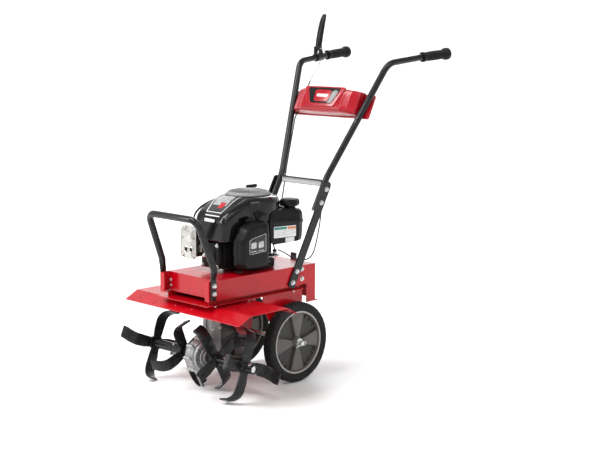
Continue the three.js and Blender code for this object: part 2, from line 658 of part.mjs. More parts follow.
function tineSet(side, bladeX, hubLow, hubHigh, lean, firstBend, straight) {
  const parts = [
    disc("x", [0, 0, 0], TINE_HUB_RADIUS, ...mirrored(side, hubLow, hubHigh), 16),
    disc("x", [0, 0, 0], 30, ...mirrored(side, bladeX - 4, bladeX + 4), 16),
  ];
  for (let k = 0; k < 4; k += 1) {
    const bendSide = k % 2 === 0 ? firstBend : -firstBend;
    const piece = blade(bendSide, straight).rotateX(THREE.MathUtils.degToRad(90 * k - lean));
    parts.push(piece.translate(side * bladeX, 0, 0));
  }
  const bore = disc("x", [0, 0, 0], TINE_SHAFT_RADIUS + GAP, -400, 400, 16);
  return cut(join(...parts), bore).translate(0, 0, TINE_Z);
}
for (const [name, side] of SIDES) {
  place(`tine_inner_${name}`, tineSet(side, INNER_TINE_X, CASE_BOSS_X + 1, 154, INNER_TINE_LEAN[name], side,
    INNER_BLADE_STRAIGHT), finish.tineSteel);
  place(`tine_outer_${name}`, tineSet(side, OUTER_TINE_X[name], 155, HUB_END_X, OUTER_TINE_LEAN, -side,
    OUTER_BLADE_STRAIGHT), finish.tineSteel);
}

// Fuel tank, cap, air filter, muffler and small engine pieces
const tankOutline = [
  [-70, 300], [122, 226], [126, 250], [126, 384], [112, 422], [60, 436], [-70, 430],
];
const tankRoom = prism("z", shroudOutline(-1.2), 500, 720);
const tankSolid = toGeometry(toSolid(eased("z", tankOutline, 524, 652, 12, 2)).subtract(toSolid(tankRoom)));
const tankHollow = eased("z", tankOutline.map(([x, y]) => [28 + (x - 28) * 0.94, 345 + (y - 345) * 0.92]),
  528, 648, 10, 1);
const tankHollowClear = toGeometry(toSolid(tankHollow).subtract(toSolid(prism("z", shroudOutline(-5), 500, 720))));
const FUEL_CAP_AT = [76, 380, 0];
place("fuel_tank", cut(join(tankSolid, disc("z", FUEL_CAP_AT, 22, 645, 658, 20)), tankHollowClear,
  disc("z", FUEL_CAP_AT, 17, 600, 680, 20)), finish.blackPlastic);
const capOutline = [];
for (let k = 0; k < 18; k += 1) {
  const angle = (k * Math.PI) / 9;
  const radius = k % 3 === 0 ? 33 : 29;
  capOutline.push([FUEL_CAP_AT[0] + radius * Math.cos(angle), FUEL_CAP_AT[1] + radius * Math.sin(angle)]);
}
place("fuel_cap", join(eased("z", capOutline, 658 + GAP, 684, 5, 1), disc("z", FUEL_CAP_AT, 15, 640, 662, 16)),
  finish.blackPlastic);

const filterOutline = [
  [72, 470], [72, 560], [96, 606], [150, 628], [206, 626], [214, 600], [214, 462], [200, 450], [92, 450],
];
const shroudRoom = prism("z", shroudOutline(-1.2), 549, 720);
place("air_filter_housing", cut(eased("x", filterOutline.map(([y, z]) => [y + 2, z]), 98, 112, 2, 1), shroudRoom),
  finish.blackPlastic);
const coverSolid = eased("x", filterOutline, 112 + GAP, 150, 12, 3);
const filterRoom = box(108, 139, 96, 192, 478, 588);
place("air_filter_cover", cut(coverSolid, filterRoom, shroudRoom), finish.blackPlastic);
place("air_filter_element", box(112 + GAP, 137, 100, 188, 482, 584), finish.filterPaper);
const controlPlate = join(box(86, 97, 160, 224, 484, 487), box(86, 126, 218, 284, 484, 487),
  disc("z", [118, 262, 0], 6, 484, 506, 12));
place("carburettor", join(box(64, 92, 118, 168, 484, 540), box(56, 65, 112, 148, 492, 532),
  disc("x", [0, 144, 512], 22, 90, 97.7, 16), controlPlate), finish.castAlloy);

const mufflerBody = join(
  eased("z", [[-136, 32], [-62, 32], [-62, 94], [-70, 100], [-130, 100], [-136, 94]], 484, 547, 5, 1),
  eased("z", [[-136, 32], [-97, 32], [-97, 94], [-104, 100], [-130, 100], [-136, 94]], 530, 590, 5, 1),
  box(-66, -48 - GAP, 56, 65, 500, 530),
);
const mufflerRoom = join(box(-133, -65, 35, 91, 489, 542), box(-133, -100, 35, 91, 538, 585));
const mufflerOutlet = disc("y", [-111, 0, 510], 7, 20, 40, 12);
place("muffler", cut(mufflerBody, mufflerRoom, mufflerOutlet), finish.steel);
const guardFace = prism("y", [[478, -132], [478, -64], [486, -56], [592, -56], [600, -64], [600, -120], [588, -140],
  [488, -140]], 26, 28);
const guardSheet = join(guardFace, box(-141.6, -139.6, 26, 100, 490, 586), box(-118, -66, 26, 40, 598.6, 600.4));
place("muffler_guard", cut(guardSheet, ...[-111, -82].map((x) => disc("y", [x, 0, 510], 8, 10, 30, 12))), finish.steel);

// The oil filler leans outwards from the crankcase
const fillerLean = (geometry) => geometry.rotateY(-Math.PI / 4).translate(-92, 262, 470);
place("oil_filler_tube", fillerLean(sleeve("z", [0, 0, 0], 7, 11, 0, 34, 16)), finish.blackPlastic);
place("oil_cap", fillerLean(turned("z", [0, 0, 0], [
  [0, -6], [3, -6], [3, 34 + GAP], [17, 34 + GAP], [17, 46], [6, 48], [6, 56], [0, 56],
], 16)), finish.blackPlastic);
place("starter_grip", join(rod([-72, 296, 724], [-72, 348, 724], 7, 12), rod([-72, 316, 708.6], [-72, 316, 722], 6, 10)),
  finish.rubber);

// Drag stake at the rear
const stakeBody = box(-13, 13, 474, 482, 96, 456);
const stakeHoles = [0, 1, 2, 3, 4].map((k) => disc("y", [0, 0, 300 + 32 * k], 4, 460, 490, 10));
place("drag_stake", cut(stakeBody, ...stakeHoles), finish.blackPaint);
const stakeGuide = cut(box(-20, 20, DECK_REAR_Y + GAP, 490, 372, 412), box(-13.5, 13.5, 473.5, 482.5, 360, 430));
place("stake_bracket", join(stakeGuide, box(-60, 60, DECK_REAR_Y + GAP, 465, 378, 430)), finish.redPaint);

// Clutch cable and engine cable along their routes
const cableRun = [
  [-240, 868, 1182], [-222, 838, 1156], [-206, 800, 1138], [-168, 738, 1110], [-157, 708, 1077], [-157, 681, 1024], [-157, 655, 970],
  [-154, 640, 930], [-124, 575, 790], [-103, 544, 730], [-102, 510, 640], [-108, 480, 560], [-110, 474, 480],
  [-96, 476, 440], [-94, 462, 416], [-93, 430, 412], [-92, 378, 412],
];
const smoothCable = (points, count) => new THREE.CatmullRomCurve3(points.map((p) => v(...p))).getSpacedPoints(count);
place("clutch_cable", pipe(smoothCable(cableRun, 28), 2.6, 0, 8), finish.rubber);
const engineCableRun = [
  [96, 300, 500], [100, 330, 486], [102, 380, 458], [104, 440, 446], [108, 478, 470], [110, 506, 560],
  [103, 528, 640], [103, 548, 730], [120, 580, 800], [150, 638, 920], [157, 668, 996],
];
place("engine_cable", pipe(smoothCable(engineCableRun, 20), 2.6, 0, 8), finish.rubber);

export default group;
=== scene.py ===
import json
from math import atan2, copysign, cos, pi, radians, sin, tan

import bmesh
import bpy
from mathutils.bvhtree import BVHTree
from mathutils import Matrix, Quaternion, Vector


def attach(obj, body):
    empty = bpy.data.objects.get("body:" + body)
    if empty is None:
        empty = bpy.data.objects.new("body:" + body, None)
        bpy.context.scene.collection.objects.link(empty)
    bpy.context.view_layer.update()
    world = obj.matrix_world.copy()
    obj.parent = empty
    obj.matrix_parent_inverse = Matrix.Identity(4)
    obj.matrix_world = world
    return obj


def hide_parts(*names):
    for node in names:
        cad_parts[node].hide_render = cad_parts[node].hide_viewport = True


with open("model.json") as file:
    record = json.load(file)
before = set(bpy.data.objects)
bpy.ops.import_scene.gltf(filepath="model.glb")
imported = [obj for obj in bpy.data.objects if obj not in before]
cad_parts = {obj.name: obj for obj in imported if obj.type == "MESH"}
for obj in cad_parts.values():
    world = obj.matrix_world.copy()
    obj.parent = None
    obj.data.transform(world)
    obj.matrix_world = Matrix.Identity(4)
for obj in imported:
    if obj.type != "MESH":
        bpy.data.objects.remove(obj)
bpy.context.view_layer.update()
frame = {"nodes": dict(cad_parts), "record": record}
NODES = frame["nodes"]

# Shapes are drawn in millimetres with y = 0 at the tine shaft, as the CAD source does.
SHIFT_Y = 467.0
ENGINE_Y = 238
ENGINE_AT = (0, ENGINE_Y, 0)
WHEEL_X, WHEEL_Y, WHEEL_Z = 160, 330, 152.4
WHEEL_RADIUS = 152.4
TINE_Z = 130.43
FILLER_NECK = (76, 380, 0)
TUBE_RADIUS = 12.7
CABLE_RADIUS = 2.6
SIDES = (("left", 1), ("right", -1))
SIGNS = (1, -1)


def P(x, y, z):
    """A point of the drawing, in the scene's metres."""
    return Vector((x / 1000, (y - SHIFT_Y) / 1000, z / 1000))


def circle(count, start=0.0):
    """Angles spread evenly around one turn."""
    return [2 * pi * k / count + start for k in range(count)]


def quarter(steps, first=0):
    """Angles from nothing to a right angle."""
    return [pi / 2 * k / steps for k in range(first, steps + 1)]


def in_scene(name, data):
    """A new object that shows some data."""
    thing = bpy.data.objects.new(name, data)
    bpy.context.scene.collection.objects.link(thing)
    return thing


# ---- materials
DUST_COLOR = (0.33, 0.31, 0.28, 1)


def node(tree, kind, **values):
    """A new node; an underscore in the name of an input stands for a space."""
    item = tree.nodes.new(kind)
    for key, value in values.items():
        if hasattr(item, key):
            setattr(item, key, value)
        else:
            item.inputs[key.replace("_", " ")].default_value = value
    return item


def dusted(tree, where, base, dust):
    """Settles dust in patches on the faces that look up."""
    link = tree.links.new
    facing = node(tree, "ShaderNodeNewGeometry")
    split = node(tree, "ShaderNodeSeparateXYZ")
    link(facing.outputs["Normal"], split.inputs[0])
    patch = node(tree, "ShaderNodeTexNoise", Scale=22.0, Detail=6.0, Roughness=0.7)
    link(where, patch.inputs["Vector"])
    up = node(tree, "ShaderNodeMapRange", From_Min=0.1, From_Max=1.0, To_Max=dust)
    link(split.outputs["Z"], up.inputs["Value"])
    amount = node(tree, "ShaderNodeMath", operation="MULTIPLY")
    link(up.outputs["Result"], amount.inputs[0])
    link(patch.outputs["Fac"], amount.inputs[1])
    mixed = node(tree, "ShaderNodeMix", data_type="RGBA")
    mixed.inputs["B"].default_value = DUST_COLOR
    link(amount.outputs["Value"], mixed.inputs["Factor"])
    link(base, mixed.inputs["A"])
    return mixed.outputs["Result"]


def surface(name, slot, color, second, rough, metal=0.0, spread=0.08, scale=30, grain=900, bump=0.3,
            depth=0.0005, coat=0.0, coat_rough=0.05, dust=0.0, specular=0.5):
    """A procedural finish: two-tone mottling, roughness variation, fine grain and settled dust."""
    mat = bpy.data.materials.new(name)
    mat.use_nodes = True
    tree = mat.node_tree
    link = tree.links.new
    shader = tree.nodes["Principled BSDF"]
    for key, value in (("Metallic", metal), ("Coat Weight", coat), ("Coat Roughness", coat_rough),
                       ("Specular IOR Level", specular)):
        shader.inputs[key].default_value = value
    where = node(tree, "ShaderNodeTexCoord").outputs["Object"]
    cloud = node(tree, "ShaderNodeTexNoise", Scale=scale, Detail=4.0, Roughness=0.6)
    link(where, cloud.inputs["Vector"])
    tone = node(tree, "ShaderNodeValToRGB")
    for stop, position, shade in zip(tone.color_ramp.elements, (0.32, 0.72), (color, second)):
        stop.position = position
        stop.color = (*shade, 1)
    link(cloud.outputs["Fac"], tone.inputs["Fac"])
    out = tone.outputs["Color"]
    fine = node(tree, "ShaderNodeTexNoise", Scale=grain, Detail=3, Roughness=0.65)
    link(where, fine.inputs["Vector"])
    if dust > 0:
        out = dusted(tree, where, out, dust)
    link(out, shader.inputs["Base Color"])
    gloss = node(tree, "ShaderNodeMapRange", From_Min=0.3, From_Max=0.7, To_Min=max(0.02, rough - spread),
        To_Max=min(1.0, rough + spread))
    link(cloud.outputs["Fac"], gloss.inputs["Value"])
    link(gloss.outputs["Result"], shader.inputs["Roughness"])
    relief = node(tree, "ShaderNodeBump", Strength=bump, Distance=depth)
    link(fine.outputs["Fac"], relief.inputs["Height"])
    link(relief.outputs["Normal"], shader.inputs["Normal"])
    return mat


def grey(value):
    return (value, value, value)


def label(name, slot, color, second, rough=0.35, **changes):
    """A smooth printed film."""
    values = {"spread": 0.05, "grain": 700, "bump": 0.05, "depth": 0.0002, **changes}
    return surface(name, slot, color, second, rough, **values)


RED = surface("red_powder_coat", "red_paint", (0.43, 0.0, 0.006), (0.5, 0.001, 0.009), 0.3, spread=0.04,
    scale=18, grain=520, bump=0.1, coat=0.3, coat_rough=0.1, specular=0.3)
BLACK = surface("black_powder_coat", "black_paint", (0.006, 0.006, 0.0065), (0.011, 0.011, 0.012), 0.3,
    spread=0.06, grain=700, bump=0.12, depth=0.0004, dust=0.01, specular=0.22, coat=0.3, coat_rough=0.07)
GLOSS = surface("gloss_black_plastic", "black_gloss", (0.004, 0.004, 0.0045), (0.007, 0.007, 0.0078), 0.16,
    spread=0.04, scale=14, grain=300, bump=0.03, depth=0.0004, coat=0.35, coat_rough=0.03, specular=0.2)
PLASTIC = surface("moulded_black_plastic", "black_plastic", (0.004, 0.004, 0.0045), (0.009, 0.009, 0.0095),
    0.42, spread=0.07, scale=26, grain=1300, bump=0.25, depth=0.0004, dust=0.01, specular=0.15, coat=0.1,
    coat_rough=0.12)
CAST_BLACK = surface("painted_cast_black", "cast_black", grey(0.006), (0.014, 0.014, 0.0145), 0.5,
    spread=0.12, scale=60, grain=420, bump=0.7, depth=0.0011, dust=0.01, specular=0.18)
RUBBER = surface("ribbed_grip_rubber", "grip_rubber", grey(0.007), grey(0.013), 0.55, spread=0.07, scale=50,
    grain=1100, bump=0.45, depth=0.0006, dust=0.02, specular=0.2)
TYRE = surface("treaded_tyre_rubber", "tyre_rubber", grey(0.011), (0.022, 0.0215, 0.021), 0.66, spread=0.09,
    scale=34, grain=800, bump=0.5, depth=0.0008, dust=0.02, specular=0.16)
HUB = surface("grey_hub_plastic", "hub_plastic", (0.085, 0.078, 0.072), (0.115, 0.105, 0.097), 0.42,
    scale=24, bump=0.4)
# The hub's own grey plastic, made darker in the recessed web between the spokes: painted shade.
HUB_WEB_SHADE = surface("hub_web_painted_shade", "hub_plastic", (0.02, 0.019, 0.018), (0.032, 0.03, 0.028), 0.5, scale=24,
    bump=0.4)
# A pale ring on the hub's outer rim edge: a painted highlight, the hub being one grey plastic.
RIM_PAINTED_HIGHLIGHT = surface("rim_edge_painted_highlight", "hub_plastic", (0.3, 0.29, 0.28), (0.42, 0.41, 0.4), 0.35, bump=0.2,
    depth=0.0004)
# Light grey on the black brace: a painted reflection along the brace's face, not a finish of its own.
BRACE_PAINTED_REFLECTION = surface("brace_face_painted_reflection", "black_paint", (0.5, 0.5, 0.51), (0.6, 0.6, 0.61), 0.34, spread=0.06,
    grain=700, bump=0.1, depth=0.0003)
LABEL_ORANGE = label("label_orange", "black_plastic", (0.62, 0.2, 0.06), (0.7, 0.25, 0.08))
ZINC = surface("zinc_plated_steel", "bright_steel", (0.56, 0.57, 0.58), (0.72, 0.72, 0.7), 0.28, metal=1.0,
    spread=0.1, scale=90, grain=1600, bump=0.15, depth=0.0003)
TINE = surface("black_coated_tine_steel", "tine_steel", (0.008, 0.0085, 0.009), (0.018, 0.0185, 0.0195),
    0.32, metal=0.2, spread=0.1, scale=38, grain=520, depth=0.0006, dust=0.01, specular=0.25, coat=0.15,
    coat_rough=0.12)
ALLOY = surface("cast_aluminium", "cast_alloy", (0.3, 0.305, 0.31), grey(0.46), 0.46, metal=0.85,
    spread=0.12, scale=55, grain=380, bump=0.8, depth=0.0012)
EXHAUST = surface("muffler_steel", "exhaust_steel", (0.5, 0.49, 0.46), (0.72, 0.71, 0.68), 0.3, metal=1.0,
    spread=0.13, scale=32, bump=0.25)
IRON = surface("grey_cast_iron", "cast_iron", (0.07, 0.07, 0.072), (0.13, 0.125, 0.12), 0.6, metal=0.8,
    spread=0.12, scale=60, grain=480, bump=0.7, depth=0.001)
BRONZE = surface("gear_bronze", "bronze", (0.42, 0.26, 0.09), (0.6, 0.4, 0.16), 0.34, metal=1.0, spread=0.1,
    scale=40, bump=0.2, depth=0.0004)
RED_PLASTIC = surface("red_console_plastic", "red_plastic", (0.36, 0.002, 0.01), (0.42, 0.003, 0.014), 0.2,
    spread=0.05, scale=16, grain=420, bump=0.06, depth=0.0006, coat=0.25, coat_rough=0.06, specular=0.35)
GRILLE = surface("grey_grille_plastic", "grey_plastic", (0.2, 0.2, 0.205), (0.27, 0.27, 0.272), 0.5,
    bump=0.35)
PAPER = surface("pleated_filter_paper", "filter_paper", (0.66, 0.58, 0.4), (0.78, 0.7, 0.52), 0.9,
    spread=0.05, scale=60, grain=1500, bump=0.6, depth=0.0006)
LABEL_PALE = label("label_pale", "black_plastic", (0.72, 0.73, 0.72), (0.8, 0.8, 0.79))
LABEL_SILVER = label("label_silver", "black_gloss", (0.42, 0.42, 0.43), grey(0.6), 0.28, metal=0.5,
    spread=0.08, scale=50, grain=900)
LABEL_TEAL = label("label_teal", "black_plastic", (0.02, 0.2, 0.17), (0.03, 0.25, 0.21))
LABEL_DARK = label("label_dark", "black_gloss", (0.02, 0.02, 0.022), (0.035, 0.035, 0.037), 0.3)
CABLE = surface("cable_sheath", "grip_rubber", grey(0.01), grey(0.02), 0.45, scale=80, grain=1500, bump=0.2,
    depth=0.0003)


# ---- mesh helpers
class Form:
    """Gathers vertices and faces in millimetres, then becomes one named piece."""

    def __init__(self):
        self.verts = []
        self.faces = []

    def add(self, verts, faces):
        start = len(self.verts)
        self.verts += [Vector(v) for v in verts]
        self.faces += [tuple(start + i for i in face) for face in faces]
        return self

    def join(self, piece, angle, axis, at=(0, 0, 0)):
        """Adds another form, turned about an axis and then moved."""
        turn = Matrix.Rotation(angle, 4, axis)
        return self.add([turn @ v + Vector(at) for v in piece.verts], piece.faces)

    def loft(self, rings, cap=True):
        """Joins rings of points one after another, and closes both ends when cap is set."""
        count = len(rings[0])
        faces = []
        for i in range(len(rings) - 1):
            for k in range(count):
                a, b = i * count + k, i * count + (k + 1) % count
                faces.append((a, b, b + count, a + count))
        if cap:
            faces.append(tuple(reversed(range(count))))
            faces.append(tuple((len(rings) - 1) * count + k for k in range(count)))
        return self.add([v for ring in rings for v in ring], faces)

    def lathe(self, profile, centre=(0, 0, 0), axis=(0, 0, 1), steps=48):
        """Turns (radius, height) points about an axis; a profile that ends where it starts has no caps."""
        turn = Vector((0, 0, 1)).rotation_difference(Vector(axis).normalized())
        rings = []
        for radius, height in profile:
            r = max(radius, 0.01)
            rings.append([turn @ Vector((r * cos(a), r * sin(a), height)) + Vector(centre)
                for a in circle(steps)])
        return self.loft(rings, cap=profile[0] != profile[-1])

    def prism(self, outline, low, high, axis="z", ease=0.0, steps=3):
        """Pulls an outline along an axis, with rounded rims when ease is set."""
        place = {"x": lambda u, v, w: (w, u, v), "y": lambda u, v, w: (v, w, u), "z": lambda u, v,
            w: (u, v, w)}[axis]
        corners = [Vector(p) for p in outline]
        area = sum(a.cross(b) for a, b in zip(corners, corners[1:] + corners[:1]))
        turn = 1 if area > 0 else -1
        inward = []
        for i, p in enumerate(corners):
            before = (p - corners[i - 1]).normalized()
            after = (corners[(i + 1) % len(corners)] - p).normalized()
            n1 = Vector((-before.y, before.x)) * turn
            n2 = Vector((-after.y, after.x)) * turn
            inward.append((n1 + n2) / (1 + n1.dot(n2)))

        def ring(height, inset):
            moved = [p + arm * inset for p, arm in zip(corners, inward)]
            return [place(q.x, q.y, height) for q in moved]

        if ease <= 0:
            return self.loft([ring(low, 0), ring(high, 0)])
        rings = [ring(low + ease * (1 - cos(a)), ease * (1 - sin(a))) for a in quarter(steps)]
        rings += [ring(high - ease * (1 - sin(a)), ease * (1 - cos(a))) for a in quarter(steps)]
        return self.loft(rings)

    def slab(self, corners, radius, low, high, axis="z", ease=0.0):
        """A prism whose outline has rounded corners."""
        return self.prism(smooth_outline(corners, radius), low, high, axis, ease)

    def box(self, x0, x1, y0, y1, z0, z1):
        corners = [(x, y, z) for x in (x0, x1) for y in (y0, y1) for z in (z0, z1)]
        faces = [(0, 1, 3, 2), (4, 6, 7, 5), (0, 4, 5, 1), (2, 3, 7, 6), (0, 2, 6, 4), (1, 5, 7, 3)]
        return self.add(corners, faces)

    def tube(self, points, radius, sides=20):
        """A smooth round tube along points."""
        rings = []
        normal = None
        for i, p in enumerate(points):
            before = points[max(i - 1, 0)]
            after = points[min(i + 1, len(points) - 1)]
            tangent = (Vector(after) - Vector(before)).normalized()
            if normal is None:
                normal = tangent.orthogonal().normalized()
            normal = (normal - tangent * normal.dot(tangent)).normalized()
            other = tangent.cross(normal)
            r = radius(i / (len(points) - 1)) if callable(radius) else radius
            rings.append([Vector(p) + normal * r * cos(a) + other * r * sin(a) for a in circle(sides)])
        return self.loft(rings)

    def turned(self, matrix):
        self.verts = [matrix @ v for v in self.verts]
        return self


def ease_edges(thing, width, segments, angle, harden=True):
    """Rounds the edges that are sharper than an angle."""
    edge = thing.modifiers.new("bevel", "BEVEL")
    edge.width = width / 1000
    edge.segments = segments
    edge.limit_method = "ANGLE"
    edge.angle_limit = radians(angle)
    edge.harden_normals = harden


def thicken(thing, name, thickness):
    """Gives an open skin a wall on its inner side."""
    wall = thing.modifiers.new(name, "SOLIDIFY")
    wall.thickness = thickness
    wall.offset = -1


def shaded(name, mesh, angle):
    """Shades a mesh smooth up to an angle and puts it in the scene."""
    mesh.shade_smooth()
    mesh.set_sharp_from_angle(angle=radians(angle))
    return in_scene(name, mesh)


def make(name, form, look, body="frame", replaces=(), bevel=0.0, angle=32, subdivide=0, weld=0.0):
    """Turns a form into a named piece that rides on a body."""
    mesh = bpy.data.meshes.new(name)
    mesh.from_pydata([P(*v) for v in form.verts], [], form.faces)
    mesh.materials.append(look)
    shape = bmesh.new()
    shape.from_mesh(mesh)
    if weld:
        bmesh.ops.remove_doubles(shape, verts=shape.verts, dist=weld)
    bmesh.ops.recalc_face_normals(shape, faces=shape.faces)
    shape.to_mesh(mesh)
    shape.free()
    thing = shaded(name, mesh, angle)
    if bevel:
        ease_edges(thing, bevel, 2, angle)
    if subdivide:
        smoother = thing.modifiers.new("subdivide", "SUBSURF")
        smoother.levels = subdivide
        smoother.render_levels = subdivide
    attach(thing, body)
    if replaces:
        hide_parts(*replaces)
    return thing


BODY_OF = {name: body for body, members in frame["record"]["behaviour"]["bodies"].items()
    for name in members}


def refined(name, look, bevel, segments=2, angle=35):
    """The CAD solid with its flat faces merged and its edges eased."""
    shape = bmesh.new()
    shape.from_mesh(NODES[name].data)
    bmesh.ops.remove_doubles(shape, verts=shape.verts, dist=2e-5)
    bmesh.ops.dissolve_limit(shape, angle_limit=radians(1.0), verts=shape.verts, edges=shape.edges)
    mesh = bpy.data.meshes.new(name + "_fine")
    shape.to_mesh(mesh)
    shape.free()
    mesh.materials.clear()
    mesh.materials.append(look)
    for polygon in mesh.polygons:
        polygon.material_index = 0
    thing = shaded(name + "_fine", mesh, angle)
    ease_edges(thing, bevel, segments, angle)
    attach(thing, BODY_OF[name])
    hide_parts(name)
    return thing


def per_corner(radius, points):
    """One radius for each point, from a list or from a single number."""
    return radius if isinstance(radius, (list, tuple)) else [radius] * len(points)


def rounded_run(corners, radius, steps=10):
    """A line through corners with an arc at each one."""
    points = [Vector(c) for c in corners]
    radii = per_corner(radius, points)
    run = [points[0]]
    for i in range(1, len(points) - 1):
        back = (points[i - 1] - points[i]).normalized()
        ahead = (points[i + 1] - points[i]).normalized()
        half = back.angle(ahead) / 2
        reach = radii[i] / tan(half)
        centre = points[i] + (back + ahead).normalized() * radii[i] / sin(half)
        start = points[i] + back * reach - centre
        axis = start.cross(points[i] + ahead * reach - centre).normalized()
        for k in range(steps + 1):
            run.append(Quaternion(axis, k / steps * (pi - 2 * half)) @ start + centre)
    run.append(points[-1])
    return run


def smooth_run(points, steps=6):
    """Catmull-Rom points through a list."""
    ps = [Vector(p) for p in points]
    out = []
    for i in range(len(ps) - 1):
        a, b, c, d = ps[max(i - 1, 0)], ps[i], ps[i + 1], ps[min(i + 2, len(ps) - 1)]
        for k in range(steps):
            t = k / steps
            out.append(0.5 * (2 * b + (c - a) * t + (2 * a - 5 * b + 4 * c - d) * t * t
                + (3 * b - a - 3 * c + d) * t ** 3))
    out.append(ps[-1])
    return out


def fastener(form, at, axis, size=13, stud=0.0):
    """A flange bolt head standing on a surface at a point, facing along an axis."""
    turn = Vector((0, 0, 1)).rotation_difference(Vector(axis).normalized())
    base = Vector(at)
    flange = 1.8

    def stack(sides, levels):
        form.loft([[turn @ Vector((radius * cos(a), radius * sin(a), height)) + base
            for a in circle(sides)] for radius, height in levels])

    stack(24, [(size * 0.82, 0), (size * 0.82, 1.0), (size * 0.66, flange)])
    stack(6, [(size * 0.58, flange - 0.4), (size * 0.58, flange + size * 0.36),
        (size * 0.5, flange + size * 0.42)])
    if stud:
        top = flange + size * 0.42 + stud
        stack(12, [(size * 0.3, flange), (size * 0.3, top), (size * 0.2, top + 0.8)])
    return form


def smooth_outline(corners, radius, steps=5):
    """A closed outline whose corners are rounded; radius may be one number or one for each corner."""
    points = [Vector(c) for c in corners]
    radii = per_corner(radius, points)
    out = []
    for i, p in enumerate(points):
        back = points[i - 1] - p
        ahead = points[(i + 1) % len(points)] - p
        half = back.angle(ahead) / 2
        reach = min(radii[i] / tan(half), back.length * 0.49, ahead.length * 0.49)
        r = reach * tan(half)
        middle = p + (back.normalized() + ahead.normalized()).normalized() * (r / sin(half))
        start = p + back.normalized() * reach - middle
        finish = p + ahead.normalized() * reach - middle
        a0 = atan2(start.y, start.x)
        a1 = atan2(finish.y, finish.x)
        turn = (a1 - a0 + pi) % (2 * pi) - pi
        for k in range(steps + 1):
            a = a0 + turn * k / steps
            out.append((middle.x + r * cos(a), middle.y + r * sin(a)))
    return out


# ---- camera, lights and floor
CAMERA_YAW, CAMERA_PITCH, CAMERA_ROLL = 44.92, 8.79, 0.16
CAMERA_AT = (3456, -2952.5, 1317)
CAMERA_LENS = 75.93


def camera():
    yaw, pitch, roll = radians(CAMERA_YAW), radians(CAMERA_PITCH), radians(CAMERA_ROLL)
    forward = Vector((-sin(yaw) * cos(pitch), cos(yaw) * cos(pitch), -sin(pitch)))
    right = Vector((cos(yaw), sin(yaw), 0))
    up = right.cross(forward)
    right, up = right * cos(roll) + up * sin(roll), up * cos(roll) - right * sin(roll)
    data = bpy.data.cameras.new("camera")
    data.lens = CAMERA_LENS
    data.sensor_width = 36
    data.clip_end = 60
    thing = in_scene("camera", data)
    turn = Matrix((right, up, -forward)).transposed().to_4x4()
    thing.matrix_world = Matrix.Translation(P(*CAMERA_AT)) @ turn
    bpy.context.scene.camera = thing


def light(name, kind, toward, power, at=(0, 0, 0), **shape):
    """A light shining along a direction; shape holds its size or its spread."""
    data = bpy.data.lights.new(name, kind)
    data.energy = power
    for key, value in shape.items():
        setattr(data, key, value)
    thing = in_scene(name, data)
    thing.location = at
    thing.rotation_euler = Vector(toward).to_track_quat("-Z", "Y").to_euler()


def area_light(name, at, aim, power, **shape):
    light(name, "AREA", Vector(aim) - Vector(at), power, at, **shape)


def backdrop():
    """A pale floor that sweeps up behind the part and, further off, behind the camera."""
    bend, back, front, half_width = 3, -14, 5, 14
    section = [(back - bend, 12)]
    section += [(back - bend * cos(a), bend - bend * sin(a)) for a in quarter(12)]
    section.append((front, 0.0))
    section += [(front + bend * sin(a), bend - bend * cos(a)) for a in quarter(12, 1)]
    section.append((front + bend, 9))
    verts = [(x, y, z) for y, z in section for x in (-half_width, half_width)]
    faces = [(2 * k, 2 * k + 1, 2 * k + 3, 2 * k + 2) for k in range(len(section) - 1)]
    floor = bpy.data.meshes.new("floor")
    floor.from_pydata(verts, [], faces)
    floor.materials.append(surface("floor_pale", None, grey(0.93), grey(0.95), 0.7, spread=0.05, scale=3,
        grain=60, bump=0.02, depth=0.0003, specular=0.2))
    floor.shade_smooth()
    thing = in_scene("floor", floor)
    thing.rotation_euler = (0, 0, radians(CAMERA_YAW))
    thing.location = (0, 0, -0.001)


def studio():
    world = bpy.data.worlds.new("studio")
    world.use_nodes = True
    world.node_tree.nodes["Background"].inputs["Color"].default_value = (1.0, 1.0, 1.0, 1)
    world.node_tree.nodes["Background"].inputs["Strength"].default_value = 0.5
    bpy.context.scene.world = world
    bpy.context.scene.view_settings.view_transform = "Standard"
    soft = radians(34)
    light("key", "SUN", (0.3, 0.55, -1.0), 2.1, angle=soft)
    light("fill", "SUN", (-0.9, 0.25, -0.75), 0.9, angle=soft)
    area_light("strip", (-2.2, -2.6, 2.2), (0, 0, 0.8), 40, size=0.25, shape="RECTANGLE", size_y=2.6)
    area_light("glint", (0.2, -3.4, 3.4), (0, 0, 0.7), 16, size=0.25)
    area_light("back", (-2.6, 3.2, 2.6), (0, 0.2, 0.8), 45, size=1.6)
    backdrop()


camera()
studio()


# ---- sheet metal
for name in ("deck_frame", "lower_tray", "tine_shield", "wheel_bracket_left", "wheel_bracket_right",
             "stake_bracket"):
    refined(name, RED, bevel=0.9)
for name in ("handle_strap_left", "handle_strap_right", "drag_stake"):
    refined(name, BLACK, bevel=1.3, segments=3)
brace = Form()
brace.box(-107, 107, 514, 524, 743, 748)
brace.box(-107, 107, 520, 524, 722, 744)
make("handle_brace_fine", brace, BLACK, replaces=("handle_brace",), bevel=0.7)
# A thin light grey strip laid on the black brace's face: painted reflection.
make("handle_brace_painted_reflection", Form().box(-106.6, 106.6, 519, 520.4, 724, 742), BRACE_PAINTED_REFLECTION, bevel=0.3)

